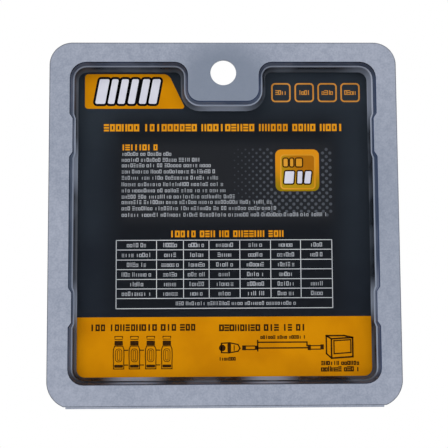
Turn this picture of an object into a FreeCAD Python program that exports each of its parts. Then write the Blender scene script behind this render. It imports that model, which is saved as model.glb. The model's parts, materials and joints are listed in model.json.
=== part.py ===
import FreeCAD, Part
import math
import os

from FreeCAD import Vector

# A hinged clamshell retail pack, as it hangs, holding a printed card and two video baluns.
# Millimetres. +Z is up, +X is right seen from the back, the window side faces -Y and the blisters face +Y.
# The origin is the centre of the hang hole, on the mating plane of the two flanges.

# Clamshell sheet and flange
PACK_WIDTH = 110.0
PACK_HEIGHT = 115.1
SHEET = 0.5
FLANGE_GAP = 0.1
TOP_CORNER_RADIUS = 7.2
BOTTOM_CORNER_RADIUS = 8.4
HANG_HOLE_RADIUS = 4.1
HANG_HOLE_DROP = 9.7

# Recess of the window half: outline at the flange, then two drafted walls with a ledge between
SIDE_FLANGE = 6.6
TOP_FLANGE = 6.4
BOTTOM_FLANGE = 7.35
RECESS_TOP_RADIUS = 5.0
RECESS_BOTTOM_RADIUS = 4.7
STEP_DEPTH = 1.9
RECESS_DEPTH = 4.4
STEP_DRAFT = 0.7
LEDGE_WIDTH = 0.35
RECESS_INSET = 1.95

# Tab round the hang hole, which the recess passes below
TAB_HALF_WIDTH = 11.4
TAB_DROP = 9.35
TAB_SHOULDER_RADIUS = 4.1
TAB_INNER_RADIUS = 3.9

# Snap notches in both side walls
NOTCH_DEPTH = 1.0
NOTCH_FOOT_DEPTH = 0.55
NOTCH_FADE_DEPTH = 0.05
NOTCH_RAMP = 1.5
NOTCH_RADIUS = 0.6
UPPER_NOTCH_DROP = 22.8
UPPER_NOTCH_LENGTH = 13.9
LOWER_NOTCH_RISE = 24.9
LOWER_NOTCH_LENGTH = 12.4

# Living hinge along the bottom edge
HINGE_HALF_LENGTH = 49.1
HINGE_LEG = 0.05

# Display half
NEST_CLEARANCE = 0.3
NEST_NOTCH_DEPTH = 0.8
PLATEAU_INSET = 0.6
CARD_THICKNESS = 0.4
CARD_CLEARANCE = 0.2
CARD_INSET = 1.0

# Product blisters
UNIT_PITCH = 48.0
BLISTER_CLEARANCE = 0.3
BLISTER_RING_ROOM = 0.5
BLISTER_DRAFT = 0.9
BLISTER_ROOF_BEVEL = 1.5
BLISTER_CORNER_RADIUS = 3.0
BLISTER_SHOULDER_RADIUS = 2.0
BLISTER_NECK_RADIUS = 0.6

# Balun housing
HOUSING_WIDTH = 17.0
HOUSING_DEPTH = 15.0
HOUSING_WALL = 1.4
HOUSING_CORNER_RADIUS = 3.6
BARREL_LENGTH = 26.0
BARREL_BULGE = 0.9
PLINTH_HEIGHT = 4.5
PLINTH_INSET = 0.35
PLINTH_CORNER_RADIUS = 2.6
NECK_WALL = 0.7
NECK_LENGTH = 3.5
PAD_HALF_WIDTH = 4.2
PAD_HALF_LENGTH = 8.5
PAD_PROUD = 0.2
TAB_LENGTH = 4.0
TAB_PROUD = 1.1
TAB_ROOT_WIDTH = 2.0
TAB_TIP_WIDTH = 3.0
TAB_SPACING = 14.0
TAB_CLEARANCE = 0.15
GROOVE_PAD = 1.2

# Bayonet connector
RING_WALL = 1.55
RING_LENGTH = 14.2
RING_GAP = 0.8
RING_BORE_CLEARANCE = 0.25
RING_COLLAR_LENGTH = 2.4
RING_RUNNING_CLEARANCE = 0.1
RING_LIP_BEVEL = 0.5
KNURL_COUNT = 24
KNURL_DEPTH = 0.35
KNURL_START = 0.8
KNURL_LENGTH = 5.6
SLOT_WIDTH = 2.3
SLOT_ENTRY = 2.6
SLOT_LEAD = 3.4
SLOT_TURN = 100.0
SLOT_SECTIONS = 7
BODY_BORE_RADIUS = 3.35
BODY_NECK_WALL = 1.15
BODY_TAIL_WALL = 0.85
BODY_TAIL_LENGTH = 3.0
BODY_FLANGE_STEP = 1.3
BODY_FLANGE_THICKNESS = 1.6
BODY_SHOULDER_STEP = 0.9
BODY_SHOULDER_THICKNESS = 1.2
SLEEVE_WALL = 0.7
SLEEVE_LENGTH = 8.4
SLEEVE_SLOT = 0.5
SLEEVE_SLOT_LENGTH = 5.5
WASHER_THICKNESS = 0.5
GASKET_THICKNESS = 1.2
GASKET_STEP = 0.1
INSULATOR_CLEARANCE = 0.05
PIN_RADIUS = 0.68
PIN_TIP_LENGTH = 1.2
PIN_REACH = 7.2
PIN_TAIL = 2.0

# Screw terminal
BLOCK_HALF_WIDTH = 5.2
BLOCK_HALF_DEPTH = 4.0
BLOCK_LENGTH = 10.0
BLOCK_FOOT = 2.0
BLOCK_CLEARANCE = 0.15
POLE_PITCH = 5.0
WIRE_ENTRY = 2.6
WIRE_ENTRY_DEPTH = 7.5
CLAMP_WALL = 0.5
CLAMP_LENGTH = 3.6
SCREW_RISE = 5.0
SCREW_HEAD_RADIUS = 1.3
SCREW_SHANK_RADIUS = 0.8
SCREW_HEAD_HEIGHT = 1.1
SCREW_SLOT = 0.4
ACCESS_CLEARANCE = 0.3

# Circuit
BOARD_HALF_WIDTH = 5.4
BOARD_THICKNESS = 1.2
BOARD_LENGTH = 18.5
BOARD_SEAT_GAP = 0.1
RIB_THICKNESS = 1.2
CORE_RADIUS = 4.0
CORE_BORE = 2.0
CORE_HEIGHT = 2.6
WINDING_WIRE = 0.35
WINDING_GAP = 0.05
TURNS_PER_SIDE = 5
TURN_ANGLE = 26.0
CHIP_WIDTH = 2.4
CHIP_LENGTH = 3.6
CHIP_HEIGHT = 1.1

# Places worked out from the values above
HALF_WIDTH = PACK_WIDTH / 2
PACK_TOP = HANG_HOLE_DROP
PACK_BOTTOM = PACK_TOP - PACK_HEIGHT
HINGE_RADIUS = SHEET + FLANGE_GAP / 2
HINGE_Y = FLANGE_GAP / 2
HINGE_Z = PACK_BOTTOM + HINGE_RADIUS
WINDOW_FACE = RECESS_DEPTH - SHEET
PLUG_FACE = RECESS_DEPTH
CARD_BACK = PLUG_FACE + CARD_CLEARANCE
CARD_FRONT = CARD_BACK + CARD_THICKNESS
PLATEAU_FACE = CARD_FRONT + CARD_CLEARANCE
RECESS_RIGHT = HALF_WIDTH - SIDE_FLANGE
RECESS_TOP = PACK_TOP - TOP_FLANGE
RECESS_BOTTOM = PACK_BOTTOM + BOTTOM_FLANGE

BODY_NECK_RADIUS = BODY_BORE_RADIUS + BODY_NECK_WALL
BODY_TAIL_RADIUS = BODY_BORE_RADIUS + BODY_TAIL_WALL
BODY_FLANGE_RADIUS = BODY_NECK_RADIUS + BODY_FLANGE_STEP
BODY_SHOULDER_RADIUS = BODY_NECK_RADIUS + BODY_SHOULDER_STEP
SLEEVE_RADIUS = BODY_BORE_RADIUS + SLEEVE_WALL
GASKET_RADIUS = BODY_SHOULDER_RADIUS - GASKET_STEP
RING_BORE_RADIUS = BODY_SHOULDER_RADIUS + RING_BORE_CLEARANCE
RING_RADIUS = RING_BORE_RADIUS + RING_WALL
NECK_RADIUS = BODY_FLANGE_RADIUS + RING_RUNNING_CLEARANCE + NECK_WALL

PAD_FACE = HOUSING_DEPTH / 2 + PAD_PROUD
UNIT_HALF_DEPTH = max(PAD_FACE, RING_RADIUS + BLISTER_RING_ROOM)
PLINTH_BASE = BLOCK_FOOT
BARREL_BASE = PLINTH_BASE + PLINTH_HEIGHT
BARREL_TOP = BARREL_BASE + BARREL_LENGTH
BARREL_MIDDLE = (BARREL_BASE + BARREL_TOP) / 2
NECK_TOP = BARREL_TOP + NECK_LENGTH
RING_BASE = NECK_TOP + RING_GAP
RING_TOP = RING_BASE + RING_LENGTH
COLLAR_TOP = RING_BASE + RING_COLLAR_LENGTH
WASHER_BASE = COLLAR_TOP + RING_RUNNING_CLEARANCE
SHOULDER_BASE = WASHER_BASE + WASHER_THICKNESS + RING_RUNNING_CLEARANCE
SHOULDER_TOP = SHOULDER_BASE + BODY_SHOULDER_THICKNESS
SLEEVE_TOP = SHOULDER_TOP + SLEEVE_LENGTH
FLANGE_TOP = NECK_TOP - HOUSING_WALL
FLANGE_BASE = FLANGE_TOP - BODY_FLANGE_THICKNESS
TAIL_BASE = FLANGE_BASE - BODY_TAIL_LENGTH
BOARD_BASE = BLOCK_LENGTH + BLOCK_CLEARANCE
BOARD_TOP = BOARD_BASE + BOARD_LENGTH
BOARD_FRONT = -PIN_RADIUS - BOARD_SEAT_GAP
BOARD_BACK = BOARD_FRONT - BOARD_THICKNESS
CORE_RISE = BOARD_BASE + CORE_RADIUS + WINDING_WIRE + 1.0
UNIT_Y = CARD_FRONT + BLISTER_CLEARANCE + UNIT_HALF_DEPTH
BLISTER_FACE = UNIT_Y + UNIT_HALF_DEPTH + BLISTER_CLEARANCE
UNIT_Z = (RECESS_TOP + RECESS_BOTTOM) / 2 - RING_TOP / 2


def heading(start, end):
    """Unit direction from one corner to the next, in the outline's own plane."""
    length = math.hypot(end[0] - start[0], end[1] - start[1])
    return (end[0] - start[0]) / length, (end[1] - start[1]) / length


def turn_at(corners, index):
    """Directions into and out of a corner, and the signed turn between them."""
    count = len(corners)
    into = heading(corners[index - 1], corners[index])
    out = heading(corners[index], corners[(index + 1) % count])
    cross = into[0] * out[1] - into[1] * out[0]
    dot = into[0] * out[0] + into[1] * out[1]
    return into, out, math.atan2(cross, dot)


def rounded_outline(corners, place):
    """Closed wire through (a, b, radius) corners, each one an arc; place gives the point of an (a, b)."""
    arcs = []
    for index, (a, b, radius) in enumerate(corners):
        into, out, turn = turn_at(corners, index)
        reach = radius * math.tan(abs(turn) / 2)
        sag = radius / math.cos(turn / 2) - radius
        side = math.hypot(out[0] - into[0], out[1] - into[1])
        start = place(a - reach * into[0], b - reach * into[1])
        middle = place(a + sag * (out[0] - into[0]) / side, b + sag * (out[1] - into[1]) / side)
        end = place(a + reach * out[0], b + reach * out[1])
        arcs.append((start, middle, end))
    edges = []
    for index, (start, middle, end) in enumerate(arcs):
        following = arcs[(index + 1) % len(arcs)][0]
        edges.append(Part.Arc(start, middle, end).toShape())
        edges.append(Part.LineSegment(end, following).toShape())
    return Part.Wire(edges)


def inset(corners, distance, least_radius=0.2):
    """The same anticlockwise outline moved inwards by a distance, or outwards by a negative one."""
    moved = []
    for index, (a, b, radius) in enumerate(corners):
        into, out, turn = turn_at(corners, index)
        share = distance / (1 + into[0] * out[0] + into[1] * out[1])
        new_a = a - share * (into[1] + out[1])
        new_b = b + share * (into[0] + out[0])
        change = distance if turn > 0 else -distance
        moved.append((new_a, new_b, max(radius - change, least_radius)))
    return moved


def at_depth(y):
    """Places outline points on the plane at depth y."""
    return lambda a, b: Vector(a, y, b)


def at_height(z):
    """Places outline points on the plane at height z."""
    return lambda a, b: Vector(a, b, z)


def formed(*sections):
    """Drafted solid through (outline, depth) sections, as a forming tool gives it."""
    wires = [rounded_outline(corners, at_depth(depth)) for corners, depth in sections]
    return Part.makeLoft(wires, True, True)


def slab(corners, back, front):
    """Flat plate of an outline between two depths."""
    face = Part.Face(rounded_outline(corners, at_depth(back)))
    return face.extrude(Vector(0, front - back, 0))


def block(low, high):
    """Box between two corners."""
    size = [top - bottom for bottom, top in zip(low, high)]
    return Part.makeBox(*size, Vector(*low))


def turned(profile):
    """Solid of revolution about Z from (radius, height) corners."""
    points = [Vector(radius, 0, height) for radius, height in profile]
    face = Part.Face(Part.makePolygon(points + points[:1]))
    return face.revolve(Vector(0, 0, 0), Vector(0, 0, 1), 360)


def across(radius, x, z, back, front):
    """Round bar along Y between two depths."""
    return Part.makeCylinder(radius, front - back, Vector(x, back, z), Vector(0, 1, 0))


def rectangle(half_width, half_height, radius):
    """Anticlockwise rounded rectangle about the origin."""
    return [
        (-half_width, -half_height, radius),
        (half_width, -half_height, radius),
        (half_width, half_height, radius),
        (-half_width, half_height, radius),
    ]


def flange_corners():
    """Outline of both flanges, before the fold trims the bottom corners."""
    return [
        (-HALF_WIDTH, PACK_BOTTOM, BOTTOM_CORNER_RADIUS),
        (HALF_WIDTH, PACK_BOTTOM, BOTTOM_CORNER_RADIUS),
        (HALF_WIDTH, PACK_TOP, TOP_CORNER_RADIUS),
        (-HALF_WIDTH, PACK_TOP, TOP_CORNER_RADIUS),
    ]


def recess_corners(notch_depth):
    """Outline of the recess at the flange, with its snap notches that deep."""
    lower = PACK_BOTTOM + LOWER_NOTCH_RISE
    upper = PACK_TOP - UPPER_NOTCH_DROP - UPPER_NOTCH_LENGTH
    right = [(RECESS_RIGHT, RECESS_BOTTOM, RECESS_BOTTOM_RADIUS)]
    for base, length in ((lower, LOWER_NOTCH_LENGTH), (upper, UPPER_NOTCH_LENGTH)):
        right += [
            (RECESS_RIGHT, base, NOTCH_RADIUS),
            (RECESS_RIGHT - notch_depth, base + NOTCH_RAMP, NOTCH_RADIUS),
            (RECESS_RIGHT - notch_depth, base + length - NOTCH_RAMP, NOTCH_RADIUS),
            (RECESS_RIGHT, base + length, NOTCH_RADIUS),
        ]
    right += [
        (RECESS_RIGHT, RECESS_TOP, RECESS_TOP_RADIUS),
        (TAB_HALF_WIDTH, RECESS_TOP, TAB_SHOULDER_RADIUS),
        (TAB_HALF_WIDTH, -TAB_DROP, TAB_INNER_RADIUS),
    ]
    left = [(-x, z, radius) for x, z, radius in reversed(right)]
    return right + left


def blister_corners():
    """Outline of a blister at its mouth, about its own balun, with sloping shoulders."""
    body = HOUSING_WIDTH / 2 + TAB_PROUD + BLISTER_CLEARANCE + BLISTER_DRAFT
    neck = RING_RADIUS + BLISTER_CLEARANCE + BLISTER_DRAFT
    foot = -BLISTER_CLEARANCE - BLISTER_DRAFT
    crown = RING_TOP + BLISTER_CLEARANCE + BLISTER_DRAFT
    shoulder = NECK_TOP - (body - neck)
    right = [
        (body, foot, BLISTER_CORNER_RADIUS),
        (body, shoulder, BLISTER_SHOULDER_RADIUS),
        (neck, NECK_TOP, BLISTER_NECK_RADIUS),
        (neck, crown, BLISTER_CORNER_RADIUS),
    ]
    left = [(-x, z, radius) for x, z, radius in reversed(right)]
    return right + left


def unit_places():
    """The place of each balun's lowest point on its axis, by side."""
    return {
        "left": Vector(-UNIT_PITCH / 2, UNIT_Y, UNIT_Z),
        "right": Vector(UNIT_PITCH / 2, UNIT_Y, UNIT_Z),
    }


def trim_fold(shell):
    """Cuts a half at the fold, which leaves the kinks at its bottom corners."""
    below = block(
        (-PACK_WIDTH, -PACK_HEIGHT, PACK_BOTTOM - PACK_HEIGHT),
        (PACK_WIDTH, PACK_HEIGHT, HINGE_Z + HINGE_LEG),
    )
    return shell.cut(below)


def make_back_shell():
    """Window half: flange, two-step recess, flat window, notches and hang hole."""
    notched = recess_corners(NOTCH_DEPTH)
    notch_foot = recess_corners(NOTCH_FOOT_DEPTH)
    faded = recess_corners(NOTCH_FADE_DEPTH)
    ledge_face = STEP_DEPTH - SHEET
    inner_top = STEP_DRAFT + LEDGE_WIDTH
    flange = slab(flange_corners(), -SHEET, 0)
    step = formed(
        (inset(notched, -SHEET), -SHEET),
        (inset(notch_foot, STEP_DRAFT - SHEET), STEP_DEPTH),
    )
    step_hollow = formed((notched, -SHEET), (inset(notch_foot, STEP_DRAFT), ledge_face))
    plug = formed(
        (inset(notch_foot, inner_top - SHEET), ledge_face),
        (inset(faded, RECESS_INSET - SHEET), PLUG_FACE),
    )
    plug_hollow = formed(
        (inset(notch_foot, inner_top), ledge_face),
        (inset(faded, RECESS_INSET), WINDOW_FACE),
    )
    hole = across(HANG_HOLE_RADIUS, 0, 0, -2 * SHEET, 2 * SHEET)
    shell = flange.fuse([step, plug]).cut([step_hollow, plug_hollow, hole])
    return trim_fold(shell)


def make_front_shell():
    """Display half: flange, wall that nests round the other half, plateau and two blisters."""
    mouth = recess_corners(NEST_NOTCH_DEPTH)
    faded = recess_corners(NOTCH_FADE_DEPTH)
    mouth_inset = -SHEET - NEST_CLEARANCE
    back = FLANGE_GAP
    flange = slab(flange_corners(), back, back + SHEET)
    wall = formed(
        (inset(mouth, mouth_inset - SHEET), back),
        (inset(faded, PLATEAU_INSET - SHEET), PLATEAU_FACE + SHEET),
    )
    hollow = formed((inset(mouth, mouth_inset), back), (inset(faded, PLATEAU_INSET), PLATEAU_FACE))
    hole = across(HANG_HOLE_RADIUS, 0, 0, -2 * SHEET, 3 * SHEET)
    outline = blister_corners()
    bevel_y = BLISTER_FACE - BLISTER_ROOF_BEVEL
    roof_inset = BLISTER_DRAFT + BLISTER_ROOF_BEVEL
    added = []
    removed = [hollow, hole]
    for place in unit_places().values():
        offset = Vector(place.x, 0, place.z)
        blister = formed(
            (inset(outline, -SHEET), PLATEAU_FACE),
            (inset(outline, BLISTER_DRAFT - SHEET), bevel_y + SHEET / 2),
            (inset(outline, roof_inset - SHEET / 2), BLISTER_FACE + SHEET),
        )
        pocket = formed(
            (outline, PLATEAU_FACE - SHEET),
            (inset(outline, BLISTER_DRAFT), bevel_y),
            (inset(outline, roof_inset), BLISTER_FACE),
        )
        blister.translate(offset)
        pocket.translate(offset)
        added.append(blister)
        removed.append(pocket)
    shell = flange.fuse([wall] + added).cut(removed)
    return trim_fold(shell)


def make_hinge_web():
    """Living hinge: the sheet folded through a half turn along the bottom edge."""
    start = Vector(-HINGE_HALF_LENGTH, HINGE_Y, HINGE_Z)
    along = Vector(1, 0, 0)
    length = 2 * HINGE_HALF_LENGTH
    outer = Part.makeCylinder(HINGE_RADIUS, length, start, along)
    inner = Part.makeCylinder(FLANGE_GAP / 2, length, start, along)
    leg_top = HINGE_Z + HINGE_LEG
    legs = block(
        (-HINGE_HALF_LENGTH, HINGE_Y - HINGE_RADIUS, HINGE_Z),
        (HINGE_HALF_LENGTH, HINGE_Y + HINGE_RADIUS, leg_top),
    )
    gap = block(
        (-HINGE_HALF_LENGTH, 0, HINGE_Z),
        (HINGE_HALF_LENGTH, FLANGE_GAP, leg_top),
    )
    above = block(
        (-HINGE_HALF_LENGTH, HINGE_Y - PACK_HEIGHT, leg_top),
        (HINGE_HALF_LENGTH, HINGE_Y + PACK_HEIGHT, leg_top + PACK_HEIGHT),
    )
    return outer.fuse(legs).cut([inner, gap, above])


def make_printed_card():
    """Insert card, cut out round the hang tab."""
    outline = inset(recess_corners(NOTCH_FADE_DEPTH), CARD_INSET)
    plain = [corner for corner in outline if corner[2] > 2 * CARD_INSET]
    return slab(plain, CARD_BACK, CARD_FRONT)


def barrel_sections(wall, shares):
    """Outlines of the barrel, bulged on all four sides, less a wall all round."""
    sections = []
    for share in shares:
        drop = BARREL_BULGE * share * share
        corners = rectangle(
            HOUSING_WIDTH / 2 - drop - wall,
            HOUSING_DEPTH / 2 - drop - wall,
            HOUSING_CORNER_RADIUS - wall,
        )
        height = BARREL_MIDDLE + share * BARREL_LENGTH / 2
        sections.append(rounded_outline(corners, at_height(height)))
    return sections


def plinth(wall):
    """Square foot of the housing, round the terminal block, less a wall all round."""
    corners = rectangle(
        HOUSING_WIDTH / 2 - PLINTH_INSET - wall,
        HOUSING_DEPTH / 2 - PLINTH_INSET - wall,
        PLINTH_CORNER_RADIUS - wall,
    )
    face = Part.Face(rounded_outline(corners, at_height(PLINTH_BASE + wall)))
    return face.extrude(Vector(0, 0, PLINTH_HEIGHT - wall))


def joining_key(clearance, depth):
    """Dovetail on the side of a housing, of that depth, standing out from x = 0."""
    root = TAB_ROOT_WIDTH / 2 + clearance
    tip = TAB_TIP_WIDTH / 2 + clearance
    half = TAB_LENGTH / 2 + clearance
    section = [(0, -root), (depth, -tip), (depth, tip), (0, root)]
    corners = [Vector(x, y, -half) for x, y in section]
    face = Part.Face(Part.makePolygon(corners + corners[:1]))
    return face.extrude(Vector(0, 0, 2 * half))


def make_housing_halves():
    """Both moulded halves: barrel, plinth and neck, with joining tabs, grooves, pads and board ribs."""
    side = HOUSING_WIDTH / 2 - BARREL_BULGE / 4
    key_depth = TAB_PROUD + BARREL_BULGE / 4
    neck = Part.makeCylinder(NECK_RADIUS, NECK_LENGTH, Vector(0, 0, BARREL_TOP))
    crowned = Part.makeLoft(barrel_sections(0, (-1.0, -0.5, 0.0, 0.5, 1.0)), True, False)
    outside = crowned.fuse([plinth(0), neck])
    below_roof = block(
        (-HOUSING_WIDTH, -HOUSING_DEPTH, 0),
        (HOUSING_WIDTH, HOUSING_DEPTH, BARREL_TOP - HOUSING_WALL),
    )
    chamber = Part.makeLoft(barrel_sections(HOUSING_WALL, (-1.0, 0.0, 1.0)), True, True)
    tail_bore = BODY_TAIL_RADIUS + RING_RUNNING_CLEARANCE
    flange_bore = BODY_FLANGE_RADIUS + RING_RUNNING_CLEARANCE
    flange_seat = FLANGE_BASE - RING_RUNNING_CLEARANCE
    neck_bore = BODY_NECK_RADIUS + RING_RUNNING_CLEARANCE
    block_half_width = BLOCK_HALF_WIDTH + BLOCK_CLEARANCE
    block_half_depth = BLOCK_HALF_DEPTH + BLOCK_CLEARANCE
    inside = chamber.common(below_roof).fuse([
        plinth(HOUSING_WALL),
        block(
            (-block_half_width, -block_half_depth, 0),
            (block_half_width, block_half_depth, BLOCK_LENGTH + BLOCK_CLEARANCE),
        ),
        Part.makeCylinder(tail_bore, FLANGE_TOP - TAIL_BASE, Vector(0, 0, TAIL_BASE)),
        Part.makeCylinder(flange_bore, FLANGE_TOP - flange_seat, Vector(0, 0, flange_seat)),
        Part.makeCylinder(neck_bore, 2 * NECK_LENGTH, Vector(0, 0, BARREL_TOP)),
    ])
    keys = []
    grooves = []
    groove_pads = []
    for middle in (BARREL_MIDDLE - TAB_SPACING / 2, BARREL_MIDDLE + TAB_SPACING / 2):
        key = joining_key(0, key_depth)
        key.translate(Vector(side, 0, middle))
        keys.append(key)
        groove = joining_key(TAB_CLEARANCE, key_depth + TAB_CLEARANCE)
        groove.translate(Vector(-HOUSING_WIDTH / 2, 0, middle))
        grooves.append(groove)
        groove_pads.append(block(
            (-side, -TAB_TIP_WIDTH, middle - TAB_LENGTH),
            (-HOUSING_WIDTH / 2 + HOUSING_WALL + GROOVE_PAD, TAB_TIP_WIDTH, middle + TAB_LENGTH),
        ))
    ribs = []
    for centre in (-BOARD_HALF_WIDTH + RIB_THICKNESS, BOARD_HALF_WIDTH - RIB_THICKNESS):
        ribs.append(block(
            (centre - RIB_THICKNESS / 2, -HOUSING_DEPTH / 2 + HOUSING_WALL / 2, BOARD_BASE + 1),
            (centre + RIB_THICKNESS / 2, BOARD_BACK - BOARD_SEAT_GAP, BOARD_TOP - 1),
        ))
    hull = outside.cut(inside).fuse(keys + groove_pads + ribs).cut(grooves)
    oval = Part.Ellipse(Vector(0, PAD_HALF_LENGTH, 0), Vector(PAD_HALF_WIDTH, 0, 0), Vector(0, 0, 0))
    oval_face = Part.Face(Part.Wire(oval.toShape()))
    pads = []
    for facing in (90, -90):
        pad = oval_face.extrude(Vector(0, 0, PAD_FACE))
        pad.rotate(Vector(0, 0, 0), Vector(1, 0, 0), facing)
        pad.translate(Vector(0, 0, BARREL_MIDDLE))
        pads.append(pad)
    core = block(
        (-HOUSING_WIDTH, -HOUSING_DEPTH / 2 + HOUSING_WALL / 2, 0),
        (HOUSING_WIDTH, HOUSING_DEPTH / 2 - HOUSING_WALL / 2, RING_TOP),
    )
    hull = hull.fuse([pad.cut(core) for pad in pads])
    front_half = block((-HOUSING_WIDTH, 0, -1), (HOUSING_WIDTH, HOUSING_DEPTH, RING_TOP))
    back_half = block((-HOUSING_WIDTH, -HOUSING_DEPTH, -1), (HOUSING_WIDTH, 0, RING_TOP))
    access = []
    for x in (-POLE_PITCH / 2, POLE_PITCH / 2):
        access.append(across(SCREW_HEAD_RADIUS + ACCESS_CLEARANCE, x, SCREW_RISE, 0, HOUSING_DEPTH))
    return hull.common(front_half).cut(access), hull.common(back_half)


def make_bnc_body():
    """Turned body: tail and flange held by the housing, neck, shoulder, and a slotted contact sleeve."""
    body = turned([
        (BODY_BORE_RADIUS, TAIL_BASE),
        (BODY_TAIL_RADIUS, TAIL_BASE),
        (BODY_TAIL_RADIUS, FLANGE_BASE),
        (BODY_FLANGE_RADIUS, FLANGE_BASE),
        (BODY_FLANGE_RADIUS, FLANGE_TOP - RING_RUNNING_CLEARANCE),
        (BODY_NECK_RADIUS, FLANGE_TOP - RING_RUNNING_CLEARANCE),
        (BODY_NECK_RADIUS, SHOULDER_BASE),
        (BODY_SHOULDER_RADIUS, SHOULDER_BASE),
        (BODY_SHOULDER_RADIUS, SHOULDER_TOP),
        (SLEEVE_RADIUS, SHOULDER_TOP),
        (SLEEVE_RADIUS, SLEEVE_TOP),
        (BODY_BORE_RADIUS, SLEEVE_TOP),
    ])
    slots = []
    for angle in (45, 135):
        slot = block(
            (-BODY_SHOULDER_RADIUS, -SLEEVE_SLOT / 2, SLEEVE_TOP - SLEEVE_SLOT_LENGTH),
            (BODY_SHOULDER_RADIUS, SLEEVE_SLOT / 2, SLEEVE_TOP + 1),
        )
        slot.rotate(Vector(0, 0, 0), Vector(0, 0, 1), angle)
        slots.append(slot)
    return body.cut(slots)


def bayonet_slot(start_angle):
    """Slot cutter: straight in from the mouth, then round the ring on a ramp to its locking hole."""
    half = SLOT_WIDTH / 2
    inner = RING_BORE_RADIUS - 1
    outer = RING_RADIUS + 1
    sections = []
    for index in range(SLOT_SECTIONS):
        share = index / (SLOT_SECTIONS - 1)
        height = RING_TOP - SLOT_ENTRY - share * SLOT_LEAD
        low = height - half
        high = height + half
        angle = math.radians(start_angle + share * SLOT_TURN)
        corners = [(inner, low), (outer, low), (outer, high), (inner, high)]
        points = [Vector(r * math.cos(angle), r * math.sin(angle), z) for r, z in corners]
        sections.append(Part.makePolygon(points + points[:1]))
    ramp = Part.makeLoft(sections, True, True)
    entry = block((inner, -half, RING_TOP - SLOT_ENTRY - half), (outer, half, RING_TOP + 1))
    entry.rotate(Vector(0, 0, 0), Vector(0, 0, 1), start_angle)
    lock_rise = RING_TOP - SLOT_ENTRY - SLOT_LEAD
    lock = Part.makeCylinder(half, outer - inner, Vector(inner, 0, lock_rise), Vector(1, 0, 0))
    lock.rotate(Vector(0, 0, 0), Vector(0, 0, 1), start_angle + SLOT_TURN)
    return ramp.fuse([entry, lock])


def make_coupling_ring():
    """Bayonet ring: inner collar, fluted grip, bevelled lip and two ramped slots."""
    ring = turned([
        (BODY_NECK_RADIUS + RING_RUNNING_CLEARANCE, RING_BASE),
        (RING_RADIUS - RING_LIP_BEVEL, RING_BASE),
        (RING_RADIUS, RING_BASE + RING_LIP_BEVEL),
        (RING_RADIUS, RING_TOP - RING_LIP_BEVEL),
        (RING_RADIUS - RING_LIP_BEVEL, RING_TOP),
        (RING_BORE_RADIUS + RING_LIP_BEVEL, RING_TOP),
        (RING_BORE_RADIUS, RING_TOP - RING_LIP_BEVEL),
        (RING_BORE_RADIUS, COLLAR_TOP),
        (BODY_NECK_RADIUS + RING_RUNNING_CLEARANCE, COLLAR_TOP),
    ])
    star = []
    for index in range(2 * KNURL_COUNT):
        radius = RING_RADIUS + KNURL_DEPTH / 2 if index % 2 else RING_RADIUS - KNURL_DEPTH
        angle = math.pi * index / KNURL_COUNT
        star.append(Vector(radius * math.cos(angle), radius * math.sin(angle), RING_BASE + KNURL_START))
    fluted = Part.Face(Part.makePolygon(star + star[:1])).extrude(Vector(0, 0, KNURL_LENGTH))
    band = Part.makeCylinder(RING_RADIUS + 1, KNURL_LENGTH, Vector(0, 0, RING_BASE + KNURL_START))
    return ring.cut([band.cut(fluted), bayonet_slot(0), bayonet_slot(180)])


def make_insulator():
    """White insulator inside the body, bored for the pin."""
    radius = BODY_BORE_RADIUS - INSULATOR_CLEARANCE
    rod = Part.makeCylinder(radius, SHOULDER_TOP - TAIL_BASE, Vector(0, 0, TAIL_BASE))
    bore = Part.makeCylinder(PIN_RADIUS + INSULATOR_CLEARANCE, RING_TOP, Vector(0, 0, 0))
    return rod.cut(bore)


def make_centre_pin():
    """Centre contact, pointed at the mating end, with a tail that reaches the board."""
    tip = SHOULDER_TOP + PIN_REACH
    return turned([
        (0, TAIL_BASE - PIN_TAIL),
        (PIN_RADIUS, TAIL_BASE - PIN_TAIL),
        (PIN_RADIUS, tip - PIN_TIP_LENGTH),
        (PIN_RADIUS / 3, tip),
        (0, tip),
    ])


def washer(inner, outer, base, thickness):
    """Flat ring about the axis."""
    disc = Part.makeCylinder(outer, thickness, Vector(0, 0, base))
    return disc.cut(Part.makeCylinder(inner, thickness, Vector(0, 0, base)))


def make_terminal_block():
    """Two-pole block with wire entries below and screw shafts in front."""
    body = block(
        (-BLOCK_HALF_WIDTH, -BLOCK_HALF_DEPTH, 0),
        (BLOCK_HALF_WIDTH, BLOCK_HALF_DEPTH, BLOCK_LENGTH),
    )
    cuts = []
    half = WIRE_ENTRY / 2
    for x in (-POLE_PITCH / 2, POLE_PITCH / 2):
        cuts.append(block((x - half, -half, -1), (x + half, half, WIRE_ENTRY_DEPTH)))
        cuts.append(across(SCREW_HEAD_RADIUS + BLOCK_CLEARANCE, x, SCREW_RISE, 0, BLOCK_HALF_DEPTH + 1))
    return body.cut(cuts)


def make_terminal_clamps():
    """Two small metal cages that the screws press the wires against."""
    half = WIRE_ENTRY / 2 - BLOCK_CLEARANCE
    hollow = half - CLAMP_WALL
    low = SCREW_RISE - CLAMP_LENGTH / 2
    high = SCREW_RISE + CLAMP_LENGTH / 2
    cages = []
    for x in (-POLE_PITCH / 2, POLE_PITCH / 2):
        cage = block((x - half, -half, low), (x + half, half, high))
        cage = cage.cut([
            block((x - hollow, -hollow, low - 1), (x + hollow, hollow, high + 1)),
            across(SCREW_SHANK_RADIUS + INSULATOR_CLEARANCE, x, SCREW_RISE, 0, half + 1),
        ])
        cages.append(cage)
    return Part.makeCompound(cages)


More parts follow.
